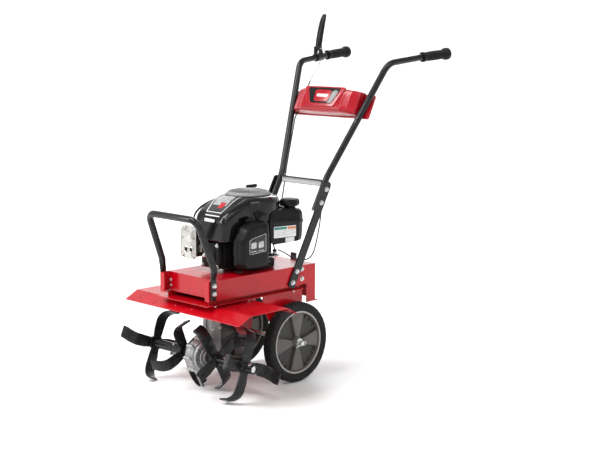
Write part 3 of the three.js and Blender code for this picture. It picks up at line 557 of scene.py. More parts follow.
hardware = Form()
for side in SIGNS:
    out = (side, 0, 0)
    for y, z in ((334, 376), (356, 416)):
        fastener(hardware, (side * 142.4, y, z), out, size=12)
    for y, z in ((388, 421), (388, 383)):
        fastener(hardware, (side * 135.3, y, z), out, size=12)
    for y, z in ((485, 665), (513, 714)):
        fastener(hardware, (side * 142.4, y, z), out, size=12)
    for z in (418, 389):
        fastener(hardware, (side * 145, -60, z), out, size=12)
    for y in (-40, 120, 351):
        fastener(hardware, (side * 128, y, 343), (0, 0, -1), size=9, stud=3)
        fastener(hardware, (side * 124, y, 363), (0, 0, 1), size=8)
    for y in (230, 300, 372):
        fastener(hardware, (side * 110, y, 338.5), (0, 0, -1), size=9, stud=3)
    for y, z in ((-20, 404), (-20, 384)):
        fastener(hardware, (side * 118, -43, z), (0, -1, 0), size=8)
    fastener(hardware, (side * 40, 465, 404), (0, 1, 0), size=11)
make("frame_bolts", hardware, ZINC, angle=30)
make("deck_rear_plate", Form().box(-134, 134, 452, 455, 300, 432), RED, bevel=0.6)

welds = Form()
for x in (-52, 40):
    welds.lathe([(0, -0.6), (6, -0.6), (4.8, 0.8), (2, 1.6), (0, 1.8)], centre=(x, -74, 322.6),
        axis=(0, -0.45, 0.89), steps=18)
make("shield_weld_dimples", welds, RED, angle=40)


# ---- bumper bar
BUMPER_SIDES = 28
# Each level of a leg: height, distance from the middle, and half its width across and along the machine.
BUMPER_LEG = ((366, 140.4, 4.6, 12.8), (440, 140.4, 4.6, 12.8), (449, 141, 6, 13), (458, 142.6, 9, 13),
    (467, 144, 11.6, 12.8))


def bumper_leg():
    """The rings of the left leg, which is pressed flat at its foot."""
    rings = []
    for z, x, reach_x, reach_y in BUMPER_LEG:
        power = 0.55 if reach_x < 8 else 1
        ring = []
        for a in circle(BUMPER_SIDES):
            c, s = cos(a), sin(a)
            ring.append(Vector((x + copysign(abs(c) ** power, c) * reach_x,
                -60 + copysign(abs(s) ** power, s) * reach_y, z)))
        rings.append(ring)
    return rings


def bumper():
    run = rounded_run([(145, -60, 472), (145, -60, 480), (135, -130, 659), (-135, -130, 659),
        (-145, -60, 480), (-145, -60, 472)], [0, 26, 38, 38, 26, 0], steps=12)
    rings = []
    across = Vector((1, 0, 0))
    for i, p in enumerate(run):
        tangent = (run[min(i + 1, len(run) - 1)] - run[max(i - 1, 0)]).normalized()
        across = (across - tangent * across.dot(tangent)).normalized()
        other = tangent.cross(across)
        rings.append([p + (across * cos(a) + other * sin(a)) * TUBE_RADIUS for a in circle(BUMPER_SIDES)])

    def matched(leg, ring, outermost):
        """The leg's rings, started and turned the way the bar's end ring is."""
        start = outermost(range(BUMPER_SIDES), key=lambda k: ring[k].x)
        way = 1 if ring[(start + 7) % BUMPER_SIDES].y > ring[start].y else -1
        return [[level[(way * (k - start)) % BUMPER_SIDES] for k in range(BUMPER_SIDES)] for level in leg]

    near = bumper_leg()
    far = [[Vector((-q.x, q.y, q.z)) for q in ring] for ring in near]
    return Form().loft(matched(near, rings[0], max) + rings + matched(far, rings[-1], min)[::-1])


make("bumper_bar", bumper(), BLACK, replaces=("bumper",), angle=50)


# ---- handles, grips and cables
HANDLE = [(121.6, 468, 633), (121.6, 533, 753), (239, 751, 1189), (258, 925, 1210), (273, 1070, 1223)]


def handle_run(side):
    return rounded_run([(side * x, y, z) for x, y, z in HANDLE], [0, 200, 62, 300, 0], steps=14)


def grip_profile(rows=19, pitch=94 / 19):
    """A plain cuff, a stretch of ribs that swells in the middle, and a flared end."""
    profile = [(12.9, 4), (19.4, 4), (20, 5), (20, 13), (18.6, 17), (17.2, 20)]
    for k in range(rows):
        base = 23 + k * pitch
        swell = 17.4 + 1.2 * sin(pi * (k + 0.5) / rows)
        profile += [(swell - 0.8, base), (swell + 0.5, base + 1.2), (swell + 0.5, base + 3.2),
            (swell - 0.8, base + 4.4)]
    return profile + [(18.6, 119), (22, 124), (24, 131), (24.4, 138), (23.6, 145), (20.5, 149), (15, 151),
        (0.5, 151)]


for side_name, side in SIDES:
    tube = Form().tube(handle_run(side), TUBE_RADIUS, sides=28)
    make(f"handle_tube_{side_name}", tube, BLACK, replaces=(f"upper_handle_{side_name}",), angle=50)
    start, end = (Vector((side * x, y, z)) for x, y, z in HANDLE[-2:])
    grip = Form().lathe(grip_profile(), centre=start, axis=(end - start).normalized(), steps=40)
    make(f"hand_grip_{side_name}", grip, RUBBER, replaces=(f"grip_{side_name}",), angle=28)

bare_wire = smooth_run([(-247, 880, 1196), (-240, 868, 1182), (-222, 838, 1156), (-206, 800, 1138),
    (-168, 738, 1110), (-157, 708, 1077)])
clutch_run = smooth_run([(-168, 738, 1110), (-157, 708, 1077), (-157, 681, 1024), (-164, 651, 970),
    (-157, 632, 930), (-128, 568, 790), (-110, 538, 730), (-102, 510, 640), (-108, 480, 560),
    (-110, 474, 480), (-96, 476, 440), (-94, 462, 416), (-93, 430, 412), (-92, 378, 412)])
clutch_cable = Form().tube(clutch_run, CABLE_RADIUS, sides=12)
clutch_cable.tube(bare_wire, 1.1, sides=10)
make("clutch_cable_fine", clutch_cable, CABLE, replaces=("clutch_cable",), angle=60)
engine_run = smooth_run([(96, 300, 500), (100, 330, 486), (102, 380, 458), (104, 440, 446), (108, 478, 470),
    (110, 506, 560), (103, 528, 640), (103, 548, 730), (120, 580, 800), (150, 638, 920), (157, 668, 996)])
make("engine_cable_fine", Form().tube(engine_run, CABLE_RADIUS, sides=12), CABLE,
    replaces=("engine_cable",), angle=60)


# ---- console
LEAN = atan2(221, 444)
CONSOLE = Matrix.Translation((0, 672, 1030)) @ Matrix.Rotation(-LEAN, 4, "X")


def along_facets(at, corners):
    """The height of a folded line at a distance along it."""
    for (x0, y0), (x1, y1) in zip(corners, corners[1:]):
        if at <= x1:
            return y0 + (y1 - y0) * (at - x0) / (x1 - x0)
    return corners[-1][1]


CONSOLE_FACE = [(0, -42), (104, -42), (114, -38), (136, -33), (140, -30), (166, -16), (168, 13)]
CONSOLE_HALF = 168
CONSOLE_RIM = 13


def console():
    """The bulged front skin: folded from side to side, rounded over at the top and the bottom."""
    rows, columns = 24, 84
    verts = []
    for j in range(rows + 1):
        v = -1 + 2 * j / rows
        for i in range(columns + 1):
            u = -1 + 2 * i / columns
            across = CONSOLE_HALF * u
            front = along_facets(abs(across), CONSOLE_FACE)
            lid = (1 - abs(v) ** 7) ** 0.4 if abs(v) < 1 else 0
            lower = -46 - 5 * (1 - u * u)
            upper = 56 - 4 * u * u
            z = upper * v if v > 0 else -lower * v
            verts.append((across, CONSOLE_RIM + (front - CONSOLE_RIM) * (0.25 + 0.75 * lid), z))
    faces = []
    for j in range(rows):
        for i in range(columns):
            a = j * (columns + 1) + i
            faces.append((a, a + 1, a + columns + 2, a + columns + 1))
    return Form().add(verts, faces)


def console_back():
    form = Form().slab([(-50, -214), (50, -214), (50, 214), (-50, 214)], 9, 13.4, 23.8, axis="y", ease=2.2)
    for side in SIGNS:
        rib = smooth_outline([(-42, side * 176), (42, side * 176), (42, side * 204), (-42, side * 204)], 5)
        form.prism(rib, 10.6, 14.4, axis="y", ease=1.4)
    return form


def mirrored(side_points):
    """A console outline of (height, distance from the middle) points, from one half of it."""
    return [(z, -x) for z, x in side_points] + [(z, x) for z, x in reversed(side_points)]


shell = make("console_bulge", console().turned(CONSOLE), RED_PLASTIC, angle=60)
thicken(shell, "shell", 0.003)
make("console_plate", console_back().turned(CONSOLE), RED_PLASTIC, replaces=("console_shell",))
BEZEL = mirrored([(-33, 72), (52, 112)])
PANEL = mirrored([(-20, 56), (45, 88)])
BADGE = mirrored([(-13, 38), (36, 44)])
STRIPE = [(6, -29), (18, -30), (18, 30), (6, 29)]
bezel = Form().slab(BEZEL, [12, 8, 8, 12], -45.5, -38, axis="y", ease=3)
make("console_bezel", bezel.turned(CONSOLE), RED_PLASTIC, angle=50)
panel = Form().slab(PANEL, [8, 6, 6, 8], -46.4, -42, axis="y", ease=1.2)
make("console_badge_panel", panel.turned(CONSOLE), GLOSS, replaces=("console_panel",))
loop = smooth_outline(mirrored([(-22, 58), (47, 91)]), [9, 7, 7, 9], steps=4)
points = [Vector((x, -45.6, z)) for z, x in loop]
rim = Form().tube(points + points[:2], 1.3, sides=8)
make("console_badge_rim", rim.turned(CONSOLE), RED_PLASTIC, angle=60)
badge = Form().slab(BADGE, 10, -48.2, -46, axis="y", ease=0.8)
make("console_blank_badge", badge.turned(CONSOLE), RED_PLASTIC)
stripe = Form().slab(STRIPE, 5, -48.7, -47.9, axis="y", ease=0.2)
make("console_badge_stripe", stripe.turned(CONSOLE), LABEL_PALE)
screws = Form()
facing = CONSOLE.to_3x3() @ Vector((0, -1, 0))
for side in SIGNS:
    for z, x in ((36, 189), (-36, 176)):
        fastener(screws, CONSOLE @ Vector((side * x, 10.4, z)), facing, size=11)
make("console_screws", screws, ZINC, angle=30)


# ---- clutch lever
LEVER_AT = Vector((-252.12, 869.1, 1237.497))
lever_along = Vector((-19, 174, 21)).normalized()
lever_turn = Vector((0, 1, 0)).rotation_difference(lever_along).to_matrix().to_4x4()
LEVER_RISE = 21
LEVER = Matrix.Translation(LEVER_AT) @ lever_turn @ Matrix.Rotation(-radians(LEVER_RISE), 4, "X")


def lever():
    """A blade of rounded sections, wide in the middle and thin at its tip."""
    # Each section: two coordinates of its middle, then half its width and half its thickness.
    spine = [(-6, -9, 10, 7), (2, 6, 12, 11), (0, 26, 13.5, 11), (0, 50, 14, 10), (1, 80, 14, 9),
        (2, 106, 13.5, 8.2), (5, 128, 12.5, 7), (9, 144, 10.5, 5.2), (10, 150, 7, 3)]
    across = Vector((1, 0, 0))
    rings = []
    for i, (y, z, wide, thick) in enumerate(spine):
        before, after = spine[max(i - 1, 0)], spine[min(i + 1, len(spine) - 1)]
        tangent = Vector((0, after[0] - before[0], after[1] - before[1])).normalized()
        other = tangent.cross(across)
        ring = []
        for a in circle(24):
            c, s = cos(a), sin(a)
            ring.append(Vector((0, y, z)) + across * wide * copysign(abs(c) ** 0.7,
                c) + other * thick * copysign(abs(s) ** 0.7, s))
        rings.append(ring)
    return Form().loft(rings)


make("clutch_lever_fine", lever().turned(LEVER), PLASTIC, "lever", replaces=("clutch_lever",), angle=40,
    subdivide=1)
refined("lever_bracket", BLACK, bevel=0.8)


# ---- wheels
TYRE_WALL = [(120.5, -16.5), (127, -19.5), (134, -21.2), (140, -21.8), (145, -21), (148.4, -18.6),
    (150.2, -15.4)]
CROWN_HALF = 13.5
CROWN_POINTS = 17
TYRE_STEPS = 480
DIAMONDS = 40


def tread_lift(k, r, w):
    """How far the tyre's surface stands out at one step around, one radius and one distance across."""
    lift = 0.0
    if abs(w) <= 16:
        a = (k * DIAMONDS / TYRE_STEPS + w / 11.5) % 1.0
        b = (k * DIAMONDS / TYRE_STEPS - w / 11.5) % 1.0
        groove = min(abs(a - 0.5), abs(b - 0.5))
        lift = 1.1 if groove > 0.15 else -3.6
        if abs(w) > 13:
            lift *= 0.5
    elif abs(w) > 17:
        lift = 0.5 if (k * 2 * DIAMONDS // TYRE_STEPS) % 2 == 0 and r > 141 else 0.0
    return lift


def tyre():
    """A carcass with a raised diamond tread on its crown."""
    section = list(TYRE_WALL)
    for k in range(CROWN_POINTS):
        w = -CROWN_HALF + 2 * CROWN_HALF * k / (CROWN_POINTS - 1)
        section.append((151.2 - 0.9 * (w / CROWN_HALF) ** 2, w))
    section += [(r, -w) for r, w in reversed(TYRE_WALL)]
    verts = []
    for k, angle in enumerate(circle(TYRE_STEPS)):
        for r, w in section:
            rr = min(r + tread_lift(k, r, w), WHEEL_RADIUS)
            verts.append((w, rr * cos(angle), rr * sin(angle)))
    count = len(section)
    faces = []
    for k in range(TYRE_STEPS):
        a, b = k * count, ((k + 1) % TYRE_STEPS) * count
        faces += [(a + j, b + j, b + j + 1, a + j + 1) for j in range(count - 1)]
        faces.append((a + count - 1, b + count - 1, b, a))
    return Form().add(verts, faces)


def band(inner, outer, low, high):
    """The closed section of a plain ring."""
    return [(inner, low), (outer, low), (outer, high), (inner, high), (inner, low)]


def rod(radius, low, high):
    """The section of a plain solid disc or rod."""
    return [(0.1, low), (radius, low), (radius, high), (0.1, high)]


def wheel_hub(side):
    form = Form()
    out = (side, 0, 0)
    form.lathe([(111, -16.5), (119.4, -16.5), (120, -14), (120, 14), (119.4, 16.5), (114, 16.9),
        (111.5, 15.5), (109.5, 12), (109.5, -12), (111, -16.5)], axis=out, steps=96)
    form.lathe([(8.4, -16), (19, -16), (22.5, -12), (22.5, 12), (20, 17), (16, 19), (12, 18.2), (8.4, 18.2),
        (8.4, -16)], axis=out, steps=48)
    wedge = smooth_outline([(-8, 17), (8, 17), (33, 106), (20, 109.6), (-20, 109.6), (-33, 106)],
        [2, 2, 7, 3, 3, 7], steps=4)
    for k in range(4):
        a = k * pi / 2
        turned = [(u * cos(a) - v * sin(a), u * sin(a) + v * cos(a)) for u, v in wedge]
        for near, far, ease in ((1, 12, 2.2), (-9, -1, 1.6)):
            low, high = sorted((side * near, side * far))
            form.prism(turned, low, high, axis="x", ease=ease)
    rib = Form().box(side * 2, side * 8, -1.1, 1.1, 96, 110)
    for a in circle(24):
        form.join(rib, a, "X")
    return form


for side_name, side in SIDES:
    wheel = f"wheel_{side_name}"
    place = Matrix.Translation((side * WHEEL_X, WHEEL_Y, WHEEL_Z))
    make(f"tyre_fine_{side_name}", tyre().turned(place), TYRE, wheel, replaces=(f"tyre_{side_name}",),
        angle=34)
    make(f"hub_fine_{side_name}", wheel_hub(side).turned(place), HUB, wheel,
        replaces=(f"wheel_hub_{side_name}",), angle=34)
    # The recessed web takes the darker painted-shade plastic.
    web = Form().lathe(band(20, 110, -2.2, 2.2), axis=(side, 0, 0), steps=96)
    make(f"hub_web_{side_name}", web.turned(place), HUB_WEB_SHADE, wheel, angle=34)
    # The rim edge carries the pale painted highlight.
    lip = Form().lathe([(112, 15), (114, 17.2), (118.6, 17.2), (119.4, 15.6), (119.4, 14), (112, 14),
        (112, 15)], axis=(side, 0, 0), steps=96)
    make(f"hub_lip_{side_name}", lip.turned(place), RIM_PAINTED_HIGHLIGHT, wheel, angle=34)

axle = Form()
for side in SIGNS:
    axle.lathe(band(8.3, 15.5, 0, 1.6), centre=(side * 180.6, WHEEL_Y, WHEEL_Z), axis=(side, 0, 0),
        steps=36)
    clip = [Vector((side * 188, WHEEL_Y + u, WHEEL_Z + w)) for u, w in ((-24, 1), (20, 1), (27, -5),
        (20, -12), (8, -9.5), (0, -11.5), (-9, -9), (-24, -16))]
    axle.tube(smooth_run(clip, 5), 2.0, sides=10)
make("axle_washers_and_clips", axle, ZINC, angle=40)


# ---- tines and gear case
BLADE_HALF = 23
BEND_ANGLE = 76
BEND_RADIUS = 42
BEND_STEPS = 10


def fine_blade(bend_side, straight):
    """One bolo blade pointing down, bent sideways, with a ground leading edge."""
    # Each station: distance out, distance along the shaft, sweep back, half width and tilt.
    stations = [(14, 0, 0, 17, 0), (34, 0, 0, 19.5, 0), (56, 0, 0, 22, 0), (straight, 0, -2, BLADE_HALF, 0)]
    for k in range(1, BEND_STEPS + 1):
        turn = BEND_ANGLE / BEND_STEPS * k
        a = radians(turn)
        sweep = -2 - 14 * (turn / BEND_ANGLE) ** 1.5
        stations.append((straight + BEND_RADIUS * sin(a), BEND_RADIUS * (1 - cos(a)), sweep, BLADE_HALF, a))
    last = radians(BEND_ANGLE)
    for t, sweep, wide in ((7, -17.4, 22.8), (14, -18.8, 22.4), (18.8, -19.8, 21.8), (20, -20, 20.4)):
        stations.append((straight + BEND_RADIUS * sin(last) + t * cos(last),
            BEND_RADIUS * (1 - cos(last)) + t * sin(last), sweep, wide, last))
    rings = []
    for radial, axial, sweep, wide, tilt in stations:
        at = Vector((bend_side * axial, sweep, -radial))
        across = Vector((0, wide, wide * sweep * 0.006))
        face = Vector((bend_side * cos(tilt), 0, sin(tilt)))
        unit = across.normalized()
        chamfer = 5.5 if radial > 70 else 1.2
        half, thin = 2.9, 0.7 if radial > 70 else 2.0
        rings.append([at + across - face * thin, at + across - unit * chamfer - face * half,
            at - across + unit * 1.2 - face * half, at - across - face * (half - 0.9),
            at - across + face * (half - 0.9), at - across + unit * 1.2 + face * half,
            at + across - unit * chamfer + face * half, at + across + face * thin])
    return Form().loft(rings)


def tine_set(side, blade_x, hub, lean, first_bend, straight):
    """Four blades on a sleeve, bent to alternate sides; straight is a blade's length before its bend."""
    form = Form()
    hub_low, hub_high = hub
    axis = (side, 0, 0)
    form.lathe([(12.9, hub_low), (17, hub_low), (18, hub_low + 1.2), (18, hub_high - 1.2), (17, hub_high),
        (12.9, hub_high), (12.9, hub_low)], axis=axis, steps=40)
    form.lathe([(17.5, blade_x - 4.2), (29, blade_x - 4.2), (30, blade_x - 3.2), (30, blade_x + 3.2),
        (29, blade_x + 4.2), (17.5, blade_x + 4.2), (17.5, blade_x - 4.2)], axis=axis, steps=48)
    form.lathe([(17.8, blade_x + 4), (22.5, blade_x + 4), (20.5, blade_x + 7), (17.8, blade_x + 9.5),
        (17.8, blade_x + 4)], axis=axis, steps=40)
    for k in range(4):
        blade = fine_blade(first_bend if k % 2 == 0 else -first_bend, straight)
        form.join(blade, radians(90 * k - lean), "X", (side * blade_x, 0, 0))
    for k in range(4):
        a = radians(90 * k - lean + 45)
        at = (side * (blade_x + 4), 23.5 * sin(a), -23.5 * cos(a))
        fastener(form, at, axis, size=6.5)
    return form.turned(Matrix.Translation((0, 0, TINE_Z)))


# The sets of the two sides differ in their lean, and the right outer set stands further out.
INNER = {"x": {1: 88, -1: 88}, "hub": (47, 154), "lean": {1: 57, -1: 63}, "straight": 79.85}
OUTER = {"x": {1: 238, -1: 264.5}, "hub": (155, 286), "lean": {1: 17, -1: 17}, "straight": 85.3}
PIN_X = {1: (144, 274), -1: (144, 279.5)}

pins = Form()
for side_name, side in SIDES:
    for row, values, first_bend in (("inner", INNER, side), ("outer", OUTER, -side)):
        tines = tine_set(side, values["x"][side], values["hub"], values["lean"][side], first_bend,
            values["straight"])
        make(f"tines_{row}_{side_name}", tines, TINE, "tine_rotor", replaces=(f"tine_{row}_{side_name}",),
            angle=30)
    for x in PIN_X[side]:
        where = Vector((side * x, 0, TINE_Z))
        pins.lathe([(0.1, -24), (3.6, -24), (3.6, 21), (6.2, 21), (6.2, 24), (0.1, 24.4)], centre=where,
            axis=(0, -0.5, 0.866), steps=20)
        loop = []
        for k in range(19):
            a = radians(-70 + 320 * k / 18)
            loop.append(where + Vector((side * 7.5 * sin(a), 9.5, -19.5)) + Vector((0, 7 * cos(a), 0)))
        pins.tube(loop, 1.3, sides=10)
make("tine_clevis_pins", pins, ZINC, "tine_rotor", angle=40)

CASE_BOLTS = [radians(100 + 40 * k) for k in range(7)]
CASE_RADIUS = 66


def gear_case(side):
    form = Form()
    axis = (side, 0, 0)
    at = (0, 0, TINE_Z)
    form.lathe([(0.1, 0.2), (66, 0.2), (66, 8), (64.5, 9.5), (62.5, 17.5), (60, 20), (56, 21), (54.5, 27.5),
        (52, 30), (36, 30.6), (35, 36), (33.5, 37.6), (25, 38), (24.4, 44.8), (23, 46), (13.2, 46),
        (13.2, 40), (0.1, 40)], centre=at, axis=axis, steps=72)
    form.lathe(band(40, 43, 30.2, 32), centre=at, axis=axis, steps=64)
    rib = Form().box(side * 28, side * 34.5, -1.6, 1.6, 33, 53)
    for a in circle(8, 0.2):
        form.join(rib, a, "X", at)
    neck = [(100, 0.2), (100, 18), (112, 26), (200, 24.5), (318, 21.5), (326, 22), (326, 0.2)]
    outline = smooth_outline([(z, side * x) for z, x in neck], [0, 5, 6, 8, 4, 2, 0], steps=4)
    form.prism(outline, 28.4, 75.6, axis="y", ease=3.2)
    form.slab([(side * 0.2, 14), (side * 44, 14), (side * 44, 90), (side * 0.2, 90)], [0, 7, 7, 0], 323,
        333.6, axis="z", ease=1.2)
    for z0 in (214, 250, 286):
        form.slab([(z0, side * 18), (z0, side * 25.4), (z0 + 4, side * 25.4), (z0 + 4, side * 18)], 1, 33,
            71, axis="y", ease=0.8)
    return form


def case_hardware():
    form = Form()
    for side in SIGNS:
        for a in CASE_BOLTS:
            at = Vector((0, CASE_RADIUS * cos(a), TINE_Z + CASE_RADIUS * sin(a)))
            fastener(form, at + Vector((side * 15, 0, 0)), (side, 0, 0), size=8)
        for y, z in ((34, 226), (70, 226), (34, 300), (70, 300)):
            fastener(form, (side * 23.5, y, z), (side, 0, 0), size=8)
    return form


for side_name, side in SIDES:
    form = gear_case(side)
    for a in CASE_BOLTS:
        centre = (0, CASE_RADIUS * cos(a), TINE_Z + CASE_RADIUS * sin(a))
        form.lathe([(0.1, 0.2), (8.2, 0.2), (8.2, 13.8), (7.2, 15), (0.1, 15)], centre=centre,
            axis=(side, 0, 0), steps=28)
    make(f"gear_case_fine_{side_name}", form, ALLOY, replaces=(f"gear_case_{side_name}",), angle=34)
make("gear_case_bolts", case_hardware(), ZINC, angle=30)


# ---- engine
def hood_outline(angle):
    """The distance from the engine axis to the hood's side wall in one direction."""
    c, s = cos(angle), sin(angle)
    best = 119.0
    corners = [(-93.8, 164.7 - ENGINE_Y), (-86, 42 - ENGINE_Y), (86, 42 - ENGINE_Y),
        (93.8, 164.7 - ENGINE_Y)]
    for (x0, y0), (x1, y1) in zip(corners, corners[1:]):
        dx, dy = x1 - x0, y1 - y0
        cross = c * dy - s * dx
        if abs(cross) < 1e-9:
            continue
        t = (x0 * dy - y0 * dx) / cross
        u = (x0 * s - y0 * c) / cross
        if t > 0 and 0 <= u <= 1:
            best = max(best, t) if t < 230 else best
    return best


HOOD_CREST = 706
HOOD_SLOPE = [(-20, 632), (42, 640), (60, 655), (85, 669), (120, 686), (150, 697), (168, 703),
    (200, HOOD_CREST), (400, HOOD_CREST)]


def hood_top(y):
    """The height of the hood's back at one place along the machine."""
    for (y0, z0), (y1, z1) in zip(HOOD_SLOPE, HOOD_SLOPE[1:]):
        if y <= y1:
            t = (y - y0) / (y1 - y0)
            return z0 + (z1 - z0) * t
    return HOOD_CREST


def softened(values, passes):
    """Evens out a closed row of values."""
    for _ in range(passes):
        count = len(values)
        values = [(values[k - 1] + 2 * values[k] + values[(k + 1) % count]) / 4 for k in range(count)]
    return values


def hood():
    """A drum around the engine with a nose ahead of it, a rounded shoulder and an opening for the grille."""
    angles = circle(192)
    reach = softened([hood_outline(a) for a in angles], 5)
    rings = []

    def ring(make_point):
        rings.append([make_point(a, r) for a, r in zip(angles, reach)])

    def at(a, r, z):
        return (r * cos(a), ENGINE_Y + r * sin(a), z)

    for z in (553.5, 560, 575, 600, 620):
        ring(lambda a, r, z=z: at(a, r - 0.3 - 2.0 * (z - 553) / 70, z))
    shoulder = 26
    opening = 85.5
    for turn in quarter(8):
        def point(a, r, turn=turn):
            inner = r - 2.3 - shoulder * (1 - cos(turn))
            y = ENGINE_Y + inner * sin(a)
            crest = hood_top(y)
            return at(a, inner, max(622, crest - shoulder * (1 - sin(turn)) * 0.95))
        ring(point)
    for t in (0.2, 0.45, 0.7, 0.9, 1.0):
        def inside(a, r, t=t):
            start = r - 2.3 - shoulder
            rr = start + (opening - start) * t if start > opening else opening - 1.5 * t
            z = hood_top(ENGINE_Y + rr * sin(a))
            return at(a, rr, z + (HOOD_CREST - z) * t ** 3)
        ring(inside)
    ring(lambda a, r: at(a, 84.3, 702))
    return Form().loft(rings, cap=False)


hood_form = hood()
HOOD_SURFACE = BVHTree.FromPolygons(hood_form.verts, hood_form.faces)
thicken(make("engine_hood", hood_form, GLOSS, replaces=("blower_shroud",), angle=55), "wall", 0.0026)


BROW = [(86, 41, 588), (88, 43, 628), (91, 54, 648), (97, 80, 664), (103, 120, 678), (109, 160, 686),
    (114, 205, 690), (115, 245, 690), (110, 285, 688)]


def brow_radius(t):
    """Full along the brow and fine at its two ends."""
    return 4.2 * sin(pi * min(1, max(0.04, t * 0.94 + 0.03))) ** 0.4


# The raised brow runs from the nose over the side of the hood.
trim = Form()
for side in SIGNS:
    line = smooth_run([(side * x * 0.985, y + 1.5, z - 4) for x, y, z in BROW], 8)
    trim.tube(line, brow_radius, sides=14)
make("hood_brow", trim, GLOSS, angle=60)


def panel_on_hood(corners, lift, low):
    """A thin plate laid over the hood's slope between four corners."""
    steps = 10
    top, under = [], []
    a, b, c, d = [Vector(p) for p in corners]
    for j in range(steps + 1):
        for i in range(steps + 1):
            u, v = i / steps, j / steps
            p = (a * (1 - u) + b * u) * (1 - v) + (d * (1 - u) + c * u) * v
            hit = HOOD_SURFACE.ray_cast(Vector((p.x, p.y, 900)), Vector((0, 0, -1)))[0]
            z = hit.z if hit else hood_top(p.y)
            top.append((p.x, p.y, z + lift))
            under.append((p.x, p.y, z + low))
    n = steps + 1
    faces = []
    for j in range(steps):
        for i in range(steps):
            q = j * n + i
            faces.append((q, q + 1, q + n + 1, q + n))
            faces.append((n * n + q, n * n + q + n, n * n + q + n + 1, n * n + q + 1))
    for i in range(steps):
        for q, r in ((i, i + 1), (steps * n + i + 1, steps * n + i), ((i + 1) * n, i * n),
                     (i * n + steps, (i + 1) * n + steps)):
            faces.append((r, q, n * n + q, n * n + r))
    return Form().add(top + under, faces)


for part, corners, lift, low, look in (
        ("edge", [(-32, 53), (45, 53), (43, 163), (-80, 163)], 0.9, -1.5, LABEL_PALE),
        ("field", [(-28.5, 56), (42, 56), (40, 160), (-74, 160)], 1.3, -1, LABEL_DARK),
        ("band", [(-40, 98), (30, 98), (28, 148), (-58, 148)], 1.7, 0, LABEL_SILVER),
        ("mark", [(0, 84), (24, 84), (22, 112), (-6, 112)], 2.1, 0, RED)):
    make(f"hood_label_{part}", panel_on_hood(corners, lift, low), look)
badge = Form().slab([(623, -24), (623, 30), (634, 36), (636, -20)], 3.5, 40.2, 42.4, axis="y", ease=0.6)
make("hood_blank_badge", badge, LABEL_PALE)


def grille():
    form = Form()
    form.lathe([(71.8, 704.4), (71.8, 709.2), (83.6, 708.6), (83.2, 711.5), (80, 716), (75, 720),
        (72.5, 720), (72.5, 704.4), (71.8, 704.4)], centre=ENGINE_AT, steps=96)
    rib = Form().loft([[Vector((r, -t, low)), Vector((r, t, low)), Vector((r, t * 0.7, high)),
        Vector((r, -t * 0.7, high))] for r, t, low, high in ((18, 0.9, 713, 727), (50, 1.4, 713, 726),
        (68, 1.6, 711, 722.5), (76, 1.6, 708, 718.5), (81, 1.4, 708, 714))])
    for a in circle(56):
        form.join(rib, a, "Z", ENGINE_AT)
    for r in (34, 52, 68):
        form.lathe(band(r - 1, r + 1, 713, 721), centre=ENGINE_AT, steps=96)
    form.lathe([(0.1, 713), (18.5, 713), (18.5, 726.6), (16, 728), (0.1, 728)], centre=ENGINE_AT, steps=48)
    return form


make("grille_fine", grille(), GRILLE, replaces=("cooling_grille",), angle=34)
dish = Form().lathe([(0.1, 712), (60, 712), (66, 708), (72, 705), (72, 707.5), (66, 711), (60, 715),
    (0.1, 715)], centre=ENGINE_AT, steps=96)
make("grille_dish", dish, GLOSS, angle=34)


ribs = Form()
for k in range(6):
    drop = 4.6 * k
    ribs.tube(smooth_run([(103 + 1.8 * k, 170 + 2 * k, 650 - drop), (105 + 2 * k, 202, 664 - drop),
        (101 + 2.2 * k, 238, 667 - drop), (92 + 2 * k, 262, 664 - drop)]), 2.5, sides=12)
make("intake_duct_ribs", ribs, PLASTIC, angle=50)


# ---- fuel tank and cap
TANK_CORNERS = [(-66, 362), (52, 362), (98, 322), (112, 272), (114, 230), (125, 230), (127, 250),
    (127, 386), (113, 423), (62, 437), (-66, 432)]
TANK_LEVELS = ((526, 0.80), (528, 0.86), (533, 0.90), (545, 0.925), (575, 0.95), (598, 0.965), (600, 0.995),
    (602, 1.0), (607, 1.0), (609, 0.995), (611, 0.968), (625, 0.955), (636, 0.925), (644, 0.87),
    (649, 0.78), (651.5, 0.62), (652, 0.4))
TANK_MIDDLE = Vector((66, 362))
HOOD_CLEARANCE = 121


def tank():
    """Stacked rounded slices: a narrower belly, a seam flange and a crowned top, clear of the round hood."""
    outline = smooth_outline(TANK_CORNERS, [10, 20, 24, 20, 4, 5, 16, 26, 30, 40, 16])
    rings = []
    for z, grow in TANK_LEVELS:
        ring = []
        for x, y in outline:
            p = TANK_MIDDLE + (Vector((x, y)) - TANK_MIDDLE) * grow
            tilt = -0.07 * (y - 362) if 590 < z < 615 else -0.03 * (y - 362) * (z > 615)
            away = Vector((p.x, p.y - ENGINE_Y))
            if away.length < HOOD_CLEARANCE:
                away = away.normalized() * HOOD_CLEARANCE
                p = Vector((away.x, away.y + ENGINE_Y))
            ring.append((p.x, p.y, z + tilt))
        rings.append(ring)
    return Form().loft(rings)


